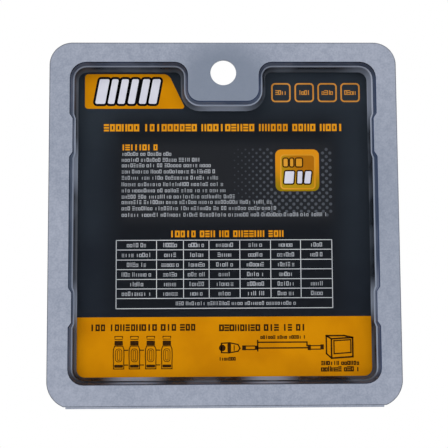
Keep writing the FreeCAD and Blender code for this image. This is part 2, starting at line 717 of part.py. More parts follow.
def make_terminal_screws():
    """Two slotted clamping screws."""
    head_back = WIRE_ENTRY / 2
    head_front = head_back + SCREW_HEAD_HEIGHT
    screws = []
    for x in (-POLE_PITCH / 2, POLE_PITCH / 2):
        head = across(SCREW_HEAD_RADIUS, x, SCREW_RISE, head_back, head_front)
        shank = across(SCREW_SHANK_RADIUS, x, SCREW_RISE, 0, head_back)
        slot = block(
            (x - SCREW_HEAD_RADIUS, head_front - SCREW_SLOT, SCREW_RISE - SCREW_SLOT / 2),
            (x + SCREW_HEAD_RADIUS, head_front + 1, SCREW_RISE + SCREW_SLOT / 2),
        )
        screws.append(head.fuse(shank).cut(slot))
    return Part.makeCompound(screws)


def make_circuit_board():
    """Board that lies on the ribs of the back half."""
    return block((-BOARD_HALF_WIDTH, BOARD_BACK, BOARD_BASE), (BOARD_HALF_WIDTH, BOARD_FRONT, BOARD_TOP))


def make_choke():
    """Ferrite ring on the board, and its wire turns as separate closed loops in one group."""
    base = BOARD_FRONT + WINDING_WIRE + 2 * WINDING_GAP
    core = across(CORE_RADIUS, 0, CORE_RISE, base, base + CORE_HEIGHT)
    core = core.cut(across(CORE_BORE, 0, CORE_RISE, base - 1, base + CORE_HEIGHT + 1))
    reach = WINDING_GAP + WINDING_WIRE
    turns = []
    for facing in (0, 180):
        for index in range(TURNS_PER_SIDE):
            angle = facing + (index - (TURNS_PER_SIDE - 1) / 2) * TURN_ANGLE
            loop = block(
                (CORE_BORE - reach, base - reach, CORE_RISE - WINDING_WIRE / 2),
                (CORE_RADIUS + reach, base + CORE_HEIGHT + reach, CORE_RISE + WINDING_WIRE / 2),
            )
            loop = loop.cut(block(
                (CORE_BORE - WINDING_GAP, base - WINDING_GAP, CORE_RISE - WINDING_WIRE),
                (CORE_RADIUS + WINDING_GAP, base + CORE_HEIGHT + WINDING_GAP, CORE_RISE + WINDING_WIRE),
            ))
            loop.rotate(Vector(0, 0, CORE_RISE), Vector(0, 1, 0), angle)
            turns.append(loop)
    return core, Part.makeCompound(turns)


def make_surge_suppressors():
    """Two small surface-mounted chips above the choke."""
    rise = CORE_RISE + CORE_RADIUS + WINDING_WIRE + CHIP_LENGTH / 2 + 1
    chips = []
    for x in (-BOARD_HALF_WIDTH / 2, BOARD_HALF_WIDTH / 2):
        chips.append(block(
            (x - CHIP_WIDTH / 2, BOARD_FRONT, rise - CHIP_LENGTH / 2),
            (x + CHIP_WIDTH / 2, BOARD_FRONT + CHIP_HEIGHT, rise + CHIP_LENGTH / 2),
        ))
    return Part.makeCompound(chips)


def make_balun():
    """Every piece of one balun, about its own axis, with its lowest point at the origin."""
    housing_front, housing_back = make_housing_halves()
    core, winding = make_choke()
    gasket_bore = SLEEVE_RADIUS + RING_RUNNING_CLEARANCE
    washer_bore = BODY_NECK_RADIUS + RING_RUNNING_CLEARANCE
    return {
        "housing_front": housing_front,
        "housing_back": housing_back,
        "bnc_body": make_bnc_body(),
        "coupling_ring": make_coupling_ring(),
        "bnc_insulator": make_insulator(),
        "centre_pin": make_centre_pin(),
        "gasket": washer(gasket_bore, GASKET_RADIUS, SHOULDER_TOP, GASKET_THICKNESS),
        "spring_washer": washer(washer_bore, BODY_SHOULDER_RADIUS, WASHER_BASE, WASHER_THICKNESS),
        "terminal_block": make_terminal_block(),
        "terminal_screws": make_terminal_screws(),
        "terminal_clamps": make_terminal_clamps(),
        "circuit_board": make_circuit_board(),
        "choke_core": core,
        "choke_winding": winding,
        "surge_suppressors": make_surge_suppressors(),
    }


def write(name, shape):
    """Writes one node and reports its solids and volume."""
    shape = shape.removeSplitter()
    solids = len(shape.Solids)
    print(f"{name:26s} solids {solids}  valid {shape.isValid()}  volume {shape.Volume:9.2f}")
    shape.exportStep(os.path.join("parts", name + ".step"))


def main():
    """Builds the pack, then both baluns in their blisters."""
    os.makedirs("parts", exist_ok=True)
    write("front_shell", make_front_shell())
    write("back_shell", make_back_shell())
    write("hinge_web", make_hinge_web())
    write("printed_card", make_printed_card())
    for side, place in unit_places().items():
        for name, shape in make_balun().items():
            shape.translate(place)
            write(side + "_" + name, shape)


main()
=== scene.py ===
"""Looks of a hinged clamshell retail pack and the two video baluns in it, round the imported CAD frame.

Sizes are written in millimetres, as a maker would give them, and turned to metres where a mesh is made.
"""

import json
import logging
import math
import random
from dataclasses import dataclass, field
from enum import Enum
from typing import Callable, Iterable, NamedTuple, Sequence

import bmesh
import bpy
from mathutils import Matrix, Vector

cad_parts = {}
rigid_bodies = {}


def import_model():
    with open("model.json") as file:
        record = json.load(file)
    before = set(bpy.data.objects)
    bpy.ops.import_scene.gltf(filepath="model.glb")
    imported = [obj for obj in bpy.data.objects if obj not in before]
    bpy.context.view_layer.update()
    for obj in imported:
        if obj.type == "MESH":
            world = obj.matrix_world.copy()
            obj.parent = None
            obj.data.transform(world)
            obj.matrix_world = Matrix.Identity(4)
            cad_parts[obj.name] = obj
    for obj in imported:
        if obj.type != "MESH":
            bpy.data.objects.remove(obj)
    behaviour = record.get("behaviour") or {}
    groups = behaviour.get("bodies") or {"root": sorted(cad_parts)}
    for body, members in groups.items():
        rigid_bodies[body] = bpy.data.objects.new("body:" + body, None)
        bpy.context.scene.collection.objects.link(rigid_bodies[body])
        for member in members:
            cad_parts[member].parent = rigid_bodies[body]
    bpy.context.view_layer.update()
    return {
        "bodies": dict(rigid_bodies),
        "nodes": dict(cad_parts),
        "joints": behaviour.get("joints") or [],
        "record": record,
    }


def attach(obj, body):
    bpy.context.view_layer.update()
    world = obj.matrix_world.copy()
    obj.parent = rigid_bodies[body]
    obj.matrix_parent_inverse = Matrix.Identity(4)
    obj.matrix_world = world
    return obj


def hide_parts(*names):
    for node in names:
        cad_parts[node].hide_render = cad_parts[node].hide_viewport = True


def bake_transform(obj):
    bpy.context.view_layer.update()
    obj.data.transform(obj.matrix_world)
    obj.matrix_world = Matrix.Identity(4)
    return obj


LOG = logging.getLogger("clamshell_pack")
MM = 0.001


class Body(str, Enum):
    """The bodies that pieces ride on."""

    DISPLAY = "display_half"
    WINDOW = "window_half"
    LEFT_RING = "left_coupling_ring_body"
    RIGHT_RING = "right_coupling_ring_body"


class Slot(str, Enum):
    """Names of the record's material slots."""

    SHEET = "clear_sheet"
    CARD = "printed_card"
    HOUSING = "housing"
    NICKEL = "nickel"


class Region(int, Enum):
    """Faces of a formed sheet, in the order of their materials."""

    FLANGE = 0
    EDGE_LINE = 1
    BEND_LINE = 2
    OUTER_WALL = 3
    LEDGE = 4
    INNER_WALL = 5
    CLEAR = 6
    BLISTER = 7


class Corner(NamedTuple):
    """One corner of an outline, in the upright plane of the pack."""

    x: float
    z: float
    radius: float


class Step(NamedTuple):
    """One bend of a formed wall: its inset and depth, the faces of the bend, and those beyond it."""

    inset: float
    depth: float
    bend: Region
    beyond: Region


class Rib(NamedTuple):
    """One line of a formed wall's close section, and the faces between it and the next."""

    inset: float
    depth: float
    region: Region


def heading(start: Sequence[float], end: Sequence[float]) -> tuple[float, float]:
    """Unit direction between two points of a plane."""
    length = math.hypot(end[0] - start[0], end[1] - start[1])
    return (end[0] - start[0]) / length, (end[1] - start[1]) / length


def rounded(
    before: Sequence[float], at: Sequence[float], after: Sequence[float], radius: float, steps: int
) -> list[tuple[float, float]]:
    """Points of the arc that rounds one corner.

    Args:
        before: The corner before.
        at: The corner itself.
        after: The corner after.
        radius: Radius of the arc.
        steps: Spans of the arc.

    Returns:
        The arc's points, ends included.
    """
    into = heading(before, at)
    out = heading(at, after)
    turn = math.atan2(into[0] * out[1] - into[1] * out[0], into[0] * out[0] + into[1] * out[1])
    if abs(turn) < 1e-6:
        return [(at[0], at[1])] * (steps + 1)
    reach = radius * math.tan(abs(turn) / 2)
    side = math.copysign(1.0, turn)
    centre = (
        at[0] - reach * into[0] - side * radius * into[1],
        at[1] - reach * into[1] + side * radius * into[0],
    )
    first = math.atan2(-side * into[0], side * into[1])
    angles = [first + turn * index / steps for index in range(steps + 1)]
    return [(centre[0] + radius * math.cos(a), centre[1] + radius * math.sin(a)) for a in angles]


@dataclass(frozen=True)
class Outline:
    """An anticlockwise outline of rounded corners, seen with +X to the right and +Z up."""

    corners: tuple[Corner, ...]

    def inset(self, distance: float, least: float = 0.2) -> "Outline":
        """The outline moved inwards.

        Args:
            distance: How far, or outwards where negative.
            least: The smallest radius that a corner keeps.

        Returns:
            The moved outline.
        """
        moved = []
        count = len(self.corners)
        for index, corner in enumerate(self.corners):
            into = heading(self.corners[index - 1], corner)
            out = heading(corner, self.corners[(index + 1) % count])
            share = distance / (1 + into[0] * out[0] + into[1] * out[1])
            convex = into[0] * out[1] - into[1] * out[0] > 0
            radius = corner.radius - distance if convex else corner.radius + distance
            moved.append(Corner(
                corner.x - share * (into[1] + out[1]),
                corner.z + share * (into[0] + out[0]),
                max(radius, least),
            ))
        return Outline(tuple(moved))

    def points(self, steps: int = 8) -> list[tuple[float, float]]:
        """The outline as points, the same number for each corner."""
        result = []
        count = len(self.corners)
        for index, corner in enumerate(self.corners):
            before = self.corners[index - 1]
            after = self.corners[(index + 1) % count]
            result += rounded(before, corner, after, corner.radius, steps)
        return result

    @staticmethod
    def rectangle(left: float, right: float, low: float, high: float, radius: float) -> "Outline":
        """A rounded rectangle."""
        return Outline((
            Corner(left, low, radius),
            Corner(right, low, radius),
            Corner(right, high, radius),
            Corner(left, high, radius),
        ))


def circle(x: float, z: float, radius: float, steps: int = 48) -> list[tuple[float, float]]:
    """Points of a circle, anticlockwise."""
    return [
        (x + radius * math.cos(math.tau * k / steps), z + radius * math.sin(math.tau * k / steps))
        for k in range(steps)
    ]


class Shader:
    """A material under construction, with short ways to add and join nodes."""

    def __init__(self, name: str) -> None:
        """Starts an empty node tree with an output and Object coordinates."""
        self.material = bpy.data.materials.new(name)
        self.material.use_nodes = True
        self.tree = self.material.node_tree
        self.tree.nodes.clear()
        self.output = self.add("ShaderNodeOutputMaterial")
        self.place = self.add("ShaderNodeTexCoord").outputs["Object"]

    def add(self, kind: str, **settings: object) -> bpy.types.Node:
        """Adds a node and sets its properties."""
        node = self.tree.nodes.new(kind)
        for key, value in settings.items():
            setattr(node, key, value)
        return node

    def join(self, source: bpy.types.NodeSocket, target: bpy.types.NodeSocket) -> None:
        """Links two sockets."""
        self.tree.links.new(source, target)

    def feed(self, target: bpy.types.NodeSocket, value: object) -> None:
        """Links a socket or sets a plain value on the target."""
        if isinstance(value, bpy.types.NodeSocket):
            self.join(value, target)
        else:
            target.default_value = value

    def noise(self, size_mm: float, detail: float = 2.0, stretch: Sequence[float] = (1, 1, 1)) -> bpy.types.NodeSocket:
        """Noise on Object coordinates.

        Args:
            size_mm: Size of the noise's cells.
            detail: Octaves of finer noise.
            stretch: How many times finer it is along each axis.

        Returns:
            The noise's factor socket.
        """
        mapping = self.add("ShaderNodeMapping")
        mapping.inputs["Scale"].default_value = [value / (size_mm * MM) for value in stretch]
        self.join(self.place, mapping.inputs["Vector"])
        texture = self.add("ShaderNodeTexNoise")
        texture.inputs["Scale"].default_value = 1.0
        texture.inputs["Detail"].default_value = detail
        self.join(mapping.outputs["Vector"], texture.inputs["Vector"])
        return texture.outputs["Fac"]

    def math(self, operation: str, first: object, second: object = 0.0, clamp: bool = False) -> bpy.types.NodeSocket:
        """One arithmetic step on sockets or numbers."""
        node = self.add("ShaderNodeMath", operation=operation, use_clamp=clamp)
        self.feed(node.inputs[0], first)
        self.feed(node.inputs[1], second)
        return node.outputs[0]

    def ramp(self, value: bpy.types.NodeSocket, low: float, high: float) -> bpy.types.NodeSocket:
        """A smooth step from 0 at low to 1 at high."""
        node = self.add("ShaderNodeMapRange", interpolation_type="SMOOTHSTEP")
        self.join(value, node.inputs["Value"])
        node.inputs["From Min"].default_value = low
        node.inputs["From Max"].default_value = high
        return node.outputs["Result"]

    def mix(self, factor: object, first: object, second: object) -> bpy.types.NodeSocket:
        """A colour between two, by a factor."""
        node = self.add("ShaderNodeMix", data_type="RGBA")
        self.feed(node.inputs[0], factor)
        self.feed(node.inputs[6], first)
        self.feed(node.inputs[7], second)
        return node.outputs[2]

    def axes(self) -> bpy.types.Node:
        """The Object coordinates taken apart."""
        node = self.add("ShaderNodeSeparateXYZ")
        self.join(self.place, node.inputs[0])
        return node

    def distance(self, axes: bpy.types.Node, x: float, z: float) -> bpy.types.NodeSocket:
        """How far the shaded point lies from a place of the upright plane, given in millimetres."""
        across = self.math("POWER", self.math("SUBTRACT", axes.outputs["X"], x * MM), 2.0)
        upward = self.math("POWER", self.math("SUBTRACT", axes.outputs["Z"], z * MM), 2.0)
        return self.math("SQRT", self.math("ADD", across, upward))

    def bump(self, height: bpy.types.NodeSocket, depth_mm: float) -> bpy.types.NodeSocket:
        """A normal from a height, in millimetres."""
        node = self.add("ShaderNodeBump")
        node.inputs["Strength"].default_value = 1.0
        node.inputs["Distance"].default_value = depth_mm * MM
        self.join(height, node.inputs["Height"])
        return node.outputs["Normal"]

    def principled(self, **inputs: object) -> bpy.types.Node:
        """The main shader, with inputs given by name, underscores for spaces."""
        node = self.add("ShaderNodeBsdfPrincipled")
        for key, value in inputs.items():
            self.feed(node.inputs[key.replace("_", " ")], value)
        return node

    def close(self, shader: bpy.types.Node) -> bpy.types.Material:
        """Joins the last shader to the output."""
        self.join(shader.outputs[0], self.output.inputs["Surface"])
        return self.material


def linear(red: int, green: int, blue: int) -> tuple[float, float, float, float]:
    """A screen colour of 0 to 255 as the linear colour that a shader takes."""
    values = []
    for channel in (red, green, blue):
        share = channel / 255
        values.append(share / 12.92 if share <= 0.04045 else ((share + 0.055) / 1.055) ** 2.4)
    return values[0], values[1], values[2], 1.0


class PaintedShade(NamedTuple):
    """A run of painted shade on a sheet: its middle, how far it is full, where it ends, and its share."""

    x: float
    z: float
    full: float
    end: float
    share: float


@dataclass(frozen=True)
class GrainedSheet:
    """Finely grained sheet of the flanges: milky lilac grey, with an orange-peel surface, and painted shade round the
    hang tab and on the right side.
    """

    name: str = "grained_flange"
    tone: tuple[int, int, int] = (168, 174, 190)
    shade: tuple[int, int, int] = (140, 148, 165)
    painted_shade_tone: tuple[int, int, int] = (120, 130, 147)
    # Painted shade: a darker run round the hang tab and a fainter one on the right side.
    painted_shades: tuple[PaintedShade, ...] = (PaintedShade(0.0, -5.0, 9.0, 21.0, 0.85), PaintedShade(54.0, -45.0, 12.0, 50.0, 0.25))
    cover: float = 0.95
    roughness: float = 0.4
    grain_mm: float = 0.6
    grain_depth_mm: float = 0.024
    mottle_mm: float = 2.2

    def make(self) -> bpy.types.Material:
        """Builds the material."""
        s = Shader(self.name)
        cloud = s.ramp(s.noise(32.0, 1.0), 0.35, 0.65)
        grain = s.noise(self.grain_mm, 2.0)
        mottle = s.ramp(s.noise(self.mottle_mm, 2.0), 0.3, 0.7)
        fine = s.math("ADD", s.math("MULTIPLY", mottle, 0.32), s.math("MULTIPLY", s.ramp(grain, 0.3, 0.7), 0.43))
        blend = s.math("ADD", s.math("MULTIPLY", cloud, 0.25), fine)
        colour = s.mix(blend, linear(*self.shade), linear(*self.tone))
        axes = s.axes()
        # Painted shade, mixed towards the darker tone near the middle of each run.
        for painted_shade in self.painted_shades:
            near = s.ramp(s.distance(axes, painted_shade.x, painted_shade.z), painted_shade.end * MM, painted_shade.full * MM)
            colour = s.mix(s.math("MULTIPLY", near, painted_shade.share), colour, linear(*self.painted_shade_tone))
        rough = s.math("ADD", s.math("MULTIPLY", grain, 0.12), self.roughness - 0.06)
        shader = s.principled(
            Base_Color=colour, Roughness=rough, Alpha=self.cover, IOR=1.3,
            Normal=s.bump(grain, self.grain_depth_mm),
        )
        return s.close(shader)


class WallShading(NamedTuple):
    """Painted light and shade of a formed wall: a tone for each side of the recess."""

    left: tuple[int, int, int]
    right: tuple[int, int, int]
    top: tuple[int, int, int]
    bottom: tuple[int, int, int]


class PaintedHighlight(NamedTuple):
    """A painted highlight on a formed wall: its middle and its reach."""

    x: float
    z: float
    reach: float


@dataclass(frozen=True)
class FormedWall:
    """Steep formed wall of the sheet, whose dark and pale runs are painted shade and painted reflections."""

    name: str
    tones: WallShading
    reflection_tone: tuple[int, int, int]
    reflection_share: float = 0.15
    reflection_mm: float = 12.0
    painted_highlights: tuple[PaintedHighlight, ...] = ()
    highlight_share: float = 0.85
    cover: float = 0.95
    roughness: float = 0.2
    middle_x: tuple[float, float] = (-38.0, 30.0)
    top_z: tuple[float, float] = (-3.5, 1.0)
    bottom_z: tuple[float, float] = (-92.5, -97.0)
    fold_shade: tuple[int, int, int] = (18, 20, 26)
    fold_share: float = 0.0
    fold_y: tuple[float, float] = (3.3, 2.1)

    def make(self) -> bpy.types.Material:
        """Builds the material: a painted light and shade tone for each side of the recess, painted shade under the
        fold, and long painted reflection streaks and painted highlights along it.
        """
        s = Shader(self.name)
        axes = s.axes()
        # Painted light and shade: a tone for the left and right of the recess, then for its top and bottom.
        across = s.ramp(axes.outputs["X"], self.middle_x[0] * MM, self.middle_x[1] * MM)
        colour = s.mix(across, linear(*self.tones.left), linear(*self.tones.right))
        for ends, tone in ((self.top_z, self.tones.top), (self.bottom_z, self.tones.bottom)):
            share = s.ramp(axes.outputs["Z"], ends[0] * MM, ends[1] * MM)
            colour = s.mix(share, colour, linear(*tone))
        # Painted shade just under the fold of the ledge.
        under_fold = s.ramp(axes.outputs["Y"], self.fold_y[0] * MM, self.fold_y[1] * MM)
        colour = s.mix(s.math("MULTIPLY", under_fold, self.fold_share), colour, linear(*self.fold_shade))
        # Painted reflection streaks along the wall, from long noise.
        pale = s.math("MULTIPLY", s.ramp(s.noise(self.reflection_mm, 2.0), 0.46, 0.66), self.reflection_share)
        # Painted highlights at the given places, on top of the painted reflection streaks.
        for highlight in self.painted_highlights:
            near = s.ramp(s.distance(axes, highlight.x, highlight.z), highlight.reach * MM, highlight.reach * 0.2 * MM)
            pale = s.math("MAXIMUM", pale, s.math("MULTIPLY", near, self.highlight_share))
        colour = s.mix(pale, colour, linear(*self.reflection_tone))
        shader = s.principled(
            Base_Color=colour, Roughness=self.roughness, Alpha=self.cover, IOR=1.2,
            Normal=s.bump(s.noise(2.2, 2.0), 0.04),
        )
        return s.close(shader)


@dataclass(frozen=True)
class ClearSheet:
    """Flat clear sheet: the card shows through it, and it shines at a low angle."""

    name: str = "clear_window"
    index: float = 1.1
    roughness: float = 0.06
    haze: float = 0.0
    haze_tone: tuple[int, int, int] = (120, 128, 144)
    ripple_mm: float = 22.0
    still_share: float = 0.006

    def make(self) -> bpy.types.Material:
        """Builds the material: a see-through part, a shiny part by Fresnel alike on both faces, and a little haze."""
        s = Shader(self.name)
        normal = s.bump(s.noise(self.ripple_mm, 1.0), 0.12)
        fresnel = s.add("ShaderNodeFresnel")
        side = s.math("SUBTRACT", 1.0, s.math("MULTIPLY", s.add("ShaderNodeNewGeometry").outputs["Backfacing"], 2.0))
        s.join(s.math("POWER", self.index, side), fresnel.inputs["IOR"])
        s.join(normal, fresnel.inputs["Normal"])
        clear = s.add("ShaderNodeBsdfTransparent")
        shine = s.add("ShaderNodeBsdfGlossy")
        shine.inputs["Roughness"].default_value = self.roughness
        s.join(normal, shine.inputs["Normal"])
        mixed = s.add("ShaderNodeMixShader")
        share = s.math("MAXIMUM", s.math("SUBTRACT", fresnel.outputs[0], self.still_share), 0.0)
        s.join(share, mixed.inputs[0])
        s.join(clear.outputs[0], mixed.inputs[1])
        s.join(shine.outputs[0], mixed.inputs[2])
        if not self.haze:
            return s.close(mixed)
        milk = s.add("ShaderNodeBsdfDiffuse")
        milk.inputs["Color"].default_value = linear(*self.haze_tone)
        hazed = s.add("ShaderNodeMixShader")
        hazed.inputs[0].default_value = self.haze
        s.join(mixed.outputs[0], hazed.inputs[1])
        s.join(milk.outputs[0], hazed.inputs[2])
        return s.close(hazed)


@dataclass(frozen=True)
class Ink:
    """A printed colour, slightly uneven, under the card's coating."""

    name: str
    tone: tuple[int, int, int]
    shade: tuple[int, int, int]
    roughness: float = 0.45
    patch_mm: float = 14.0

    def make(self) -> bpy.types.Material:
        """Builds the material."""
        s = Shader(self.name)
        patch = s.ramp(s.noise(self.patch_mm, 3.0), 0.3, 0.7)
        colour = s.mix(patch, linear(*self.shade), linear(*self.tone))
        shader = s.principled(
            Base_Color=colour, Roughness=self.roughness, IOR=1.1,
            Normal=s.bump(s.noise(0.6, 2.0), 0.004),
        )
        return s.close(shader)


@dataclass(frozen=True)
class FadingInk:
    """A printed colour that changes to another with the distance from a point of the card."""

    name: str
    near: tuple[int, int, int]
    far: tuple[int, int, int]
    centre: tuple[float, float]
    start_mm: float
    end_mm: float
    roughness: float = 0.45

    def make(self) -> bpy.types.Material:
        """Builds the material."""
        s = Shader(self.name)
        away = s.ramp(s.distance(s.axes(), *self.centre), self.start_mm * MM, self.end_mm * MM)
        uneven = s.math("ADD", away, s.math("MULTIPLY", s.math("SUBTRACT", s.noise(6.0), 0.5), 0.15), clamp=True)
        colour = s.mix(uneven, linear(*self.near), linear(*self.far))
        shader = s.principled(
            Base_Color=colour, Roughness=self.roughness, IOR=1.1, Normal=s.bump(s.noise(0.6, 2.0), 0.004),
        )
        return s.close(shader)


@dataclass(frozen=True)
class CardStock:
    """Near-black printed ground of the card, with a soft charcoal panel behind the list."""

    name: str = "card_ground"
    ground: tuple[int, int, int] = (42, 49, 57)
    ground_shade: tuple[int, int, int] = (28, 33, 41)
    shade_z: tuple[float, float] = (-12.0, -62.0)
    patch_share: float = 0.4
    panel: tuple[int, int, int] = (35, 37, 41)
    panel_x: tuple[float, float] = (-34.9, 37.5)
    panel_z: tuple[float, float] = (-49.4, -19.0)
    middle: tuple[int, int, int] = (23, 26, 31)
    middle_x: tuple[float, float] = (-42.0, 43.0)
    middle_z: tuple[float, float] = (-84.0, -7.0)
    soft_mm: float = 5.0
    middle_soft_mm: float = 12.0

    def field(
        self, s: Shader, axes: bpy.types.Node, across: tuple[float, float], up: tuple[float, float], soft: float
    ) -> bpy.types.NodeSocket:
        """Share of a field's colour at a point of the window side.

        Args:
            s: The material's tree.
            axes: The node that holds the point's place.
            across: Left and right edge of the field.
            up: Lower and upper edge of the field.
            soft: Width in mm over which its edges fade, inside the field.

        Returns:
            The share, 1 inside the field and 0 on the display side.
        """
        share = s.ramp(axes.outputs["Y"], 4.85 * MM, 4.75 * MM)
        for socket, (low, high) in ((axes.outputs["X"], across), (axes.outputs["Z"], up)):
            for edge, inner in ((low, low + soft), (high, high - soft)):
                share = s.math("MULTIPLY", share, s.ramp(socket, edge * MM, inner * MM))
        return share

    def make(self) -> bpy.types.Material:
        """Builds the material: a dark middle on the ground, and the panel on that."""
        s = Shader(self.name)
        axes = s.axes()
        patch = s.math("MULTIPLY", s.ramp(s.noise(20.0, 3.0), 0.3, 0.7), self.patch_share)
        low = s.ramp(axes.outputs["Z"], self.shade_z[0] * MM, self.shade_z[1] * MM)
        dark = s.math("ADD", patch, s.math("MULTIPLY", low, 1.0 - self.patch_share))
        ground = s.mix(dark, linear(*self.ground), linear(*self.ground_shade))
        deep = self.field(s, axes, self.middle_x, self.middle_z, self.middle_soft_mm)
        middle = s.mix(deep, ground, linear(*self.middle))
        pale = self.field(s, axes, self.panel_x, self.panel_z, self.soft_mm)
        colour = s.mix(pale, middle, linear(*self.panel))
        shader = s.principled(
            Base_Color=colour, Roughness=0.5, IOR=1.1, Normal=s.bump(s.noise(0.7, 2.0), 0.0015),
        )
        return s.close(shader)


@dataclass(frozen=True)
class Moulded:
    """Moulded plastic with a fine spark-eroded texture."""

    name: str
    tone: tuple[int, int, int]
    roughness: float = 0.42
    texture_mm: float = 0.35
    texture_depth_mm: float = 0.012

    def make(self) -> bpy.types.Material:
        """Builds the material."""
        s = Shader(self.name)
        fine = s.noise(self.texture_mm, 3.0)
        darker = tuple(int(channel * 0.82) for channel in self.tone)
        colour = s.mix(s.ramp(s.noise(4.0, 3.0), 0.3, 0.7), linear(*darker), linear(*self.tone))
        rough = s.math("ADD", s.math("MULTIPLY", fine, 0.16), self.roughness - 0.08)
        shader = s.principled(
            Base_Color=colour, Roughness=rough, IOR=1.5, Normal=s.bump(fine, self.texture_depth_mm),
        )
        return s.close(shader)


@dataclass(frozen=True)
class Plated:
    """Plated or bare metal, with fine turning marks round the upright axis."""

    name: str
    tone: tuple[int, int, int]
    roughness: float = 0.22
    mark_mm: float = 0.25

    def make(self) -> bpy.types.Material:
        """Builds the material."""
        s = Shader(self.name)
        marks = s.noise(self.mark_mm, 2.0, (0.05, 0.05, 1.0))
        stain = s.ramp(s.noise(3.0, 3.0), 0.3, 0.7)
        duller = tuple(int(channel * 0.88) for channel in self.tone)
        colour = s.mix(stain, linear(*duller), linear(*self.tone))
        rough = s.math("ADD", s.math("MULTIPLY", marks, 0.12), self.roughness - 0.06)
        shader = s.principled(
            Base_Color=colour, Metallic=1.0, Roughness=rough, Normal=s.bump(marks, 0.006),
        )
        return s.close(shader)


class Paint:
    """Every material of the pack, made once."""

    def __init__(self) -> None:
        """Builds the materials."""
        # The flange, the cut edge and the hinge fold carry painted shade round the hang tab and on the right side.
        self.flange = GrainedSheet().make()
        self.edge_line = GrainedSheet(
            name="cut_edge", tone=(112, 117, 128), shade=(88, 93, 104), cover=0.98, roughness=0.3
        ).make()
        # Painted light and shade on the formed walls: a tone for each side of the recess, painted reflection streaks
        # and painted highlights; the inner wall also has painted shade under its fold.
        self.bend_line = FormedWall(
            "bend_line", WallShading((28, 40, 60), (48, 62, 90), (24, 29, 40), (40, 43, 52)), (66, 86, 126)
        ).make()
        self.outer_wall = FormedWall(
            "outer_wall", WallShading((80, 91, 110), (68, 80, 104), (62, 69, 85), (40, 42, 50)), (140, 148, 168),
            painted_highlights=(
                PaintedHighlight(-49.0, -20.0, 9.0), PaintedHighlight(49.0, -70.0, 12.0), PaintedHighlight(-28.0, -98.0, 11.0), PaintedHighlight(14.0, -98.0, 10.0),
            ),
            highlight_share=0.6,
        ).make()
        self.ledge = FormedWall(
            "ledge", WallShading((138, 146, 164), (152, 162, 180), (126, 133, 148), (28, 30, 36)), (176, 183, 200),
            painted_highlights=(PaintedHighlight(-48.0, -20.0, 9.0), PaintedHighlight(47.0, -8.0, 16.0)),
        ).make()
        self.inner_wall = FormedWall(
            "inner_wall", WallShading((78, 82, 90), (36, 42, 50), (60, 64, 71), (17, 17, 21)), (134, 142, 158),
            painted_highlights=(
                PaintedHighlight(48.0, -6.0, 15.0), PaintedHighlight(-48.0, -30.0, 11.0), PaintedHighlight(-48.0, -73.0, 9.0),
                PaintedHighlight(-28.0, -98.0, 12.0), PaintedHighlight(14.0, -98.0, 11.0), PaintedHighlight(48.0, -72.0, 8.0),
                PaintedHighlight(0.0, -9.0, 14.0),
            ),
            highlight_share=0.88, fold_share=0.7,
        ).make()
        self.window = ClearSheet().make()
        self.blister = ClearSheet(
            name="clear_blister", index=1.42, roughness=0.2, haze=0.02, ripple_mm=9.0, still_share=0.024
        ).make()
        # The display side's walls carry the same painted shade round the hang tab and on the right side.
        self.display_wall = GrainedSheet(
            name="display_wall", tone=(146, 152, 168), shade=(122, 129, 146), painted_shade_tone=(120, 127, 143),
            cover=0.82, roughness=0.3, grain_mm=3.0,
        ).make()
        self.card = CardStock().make()
        self.orange = Ink("orange_ink", (208, 137, 3), (194, 124, 2)).make()
        self.orange_light = Ink("orange_keyline", (222, 160, 60), (205, 140, 30)).make()
        self.heading = Ink("heading_ink", (226, 152, 28), (206, 134, 14)).make()
        self.pale = Ink("pale_ink", (166, 169, 175), (144, 148, 154)).make()
        self.white = Ink("white_ink", (222, 222, 232), (206, 206, 220)).make()
        self.rule = Ink("rule_ink", (212, 215, 220), (194, 198, 204)).make()
        self.black = Ink("black_ink", (14, 14, 18), (10, 10, 13)).make()
        self.brown = Ink("dark_on_orange", (54, 32, 8), (38, 24, 8)).make()
        self.icon = Ink("icon_ink", (206, 144, 66), (188, 126, 50)).make()
        self.dot = FadingInk("halftone_ink", (80, 84, 92), (38, 43, 50), (24.0, -34.0), 8.0, 28.0).make()
        self.badge_glow = FadingInk("badge_glow", (214, 140, 24), (138, 116, 14), (23.5, -24.0), 7.0, 15.0).make()
        self.badge_panel = FadingInk("badge_panel", (168, 104, 14), (176, 142, 22), (27.0, -27.0), 3.0, 11.0).make()
        self.housing = Moulded("housing_plastic", (38, 38, 41)).make()
        self.terminal = Moulded("terminal_plastic", (30, 122, 66), roughness=0.35).make()
        self.insulator = Moulded("insulator_plastic", (232, 232, 226), roughness=0.3).make()
        self.gasket = Moulded("gasket_rubber", (168, 42, 34), roughness=0.55).make()
        self.board = Moulded("board_lacquer", (22, 96, 52), roughness=0.25).make()
        self.ferrite = Moulded("ferrite", (62, 62, 64), roughness=0.6).make()
        self.chip = Moulded("chip_body", (30, 30, 32), roughness=0.5).make()
        self.nickel = Plated("nickel_plate", (208, 205, 198)).make()
        self.gold = Plated("gold_flash", (222, 184, 104), roughness=0.2).make()
        self.steel = Plated("zinc_steel", (186, 188, 190), roughness=0.32).make()
        self.copper = Plated("copper_wire", (190, 108, 62), roughness=0.3).make()

    def of_node(self, name: str) -> bpy.types.Material:
        """The finish of a frame node, by the last words of its name."""
        finishes = {
            "printed_card": self.card, "terminal_block": self.terminal, "bnc_insulator": self.insulator,
            "gasket": self.gasket, "circuit_board": self.board, "choke_core": self.ferrite,
            "choke_winding": self.copper, "surge_suppressors": self.chip, "bnc_body": self.nickel,
            "coupling_ring": self.nickel, "centre_pin": self.gold, "spring_washer": self.steel,
            "terminal_screws": self.steel, "terminal_clamps": self.steel,
        }
        return next((finish for ending, finish in finishes.items() if name.endswith(ending)), self.housing)

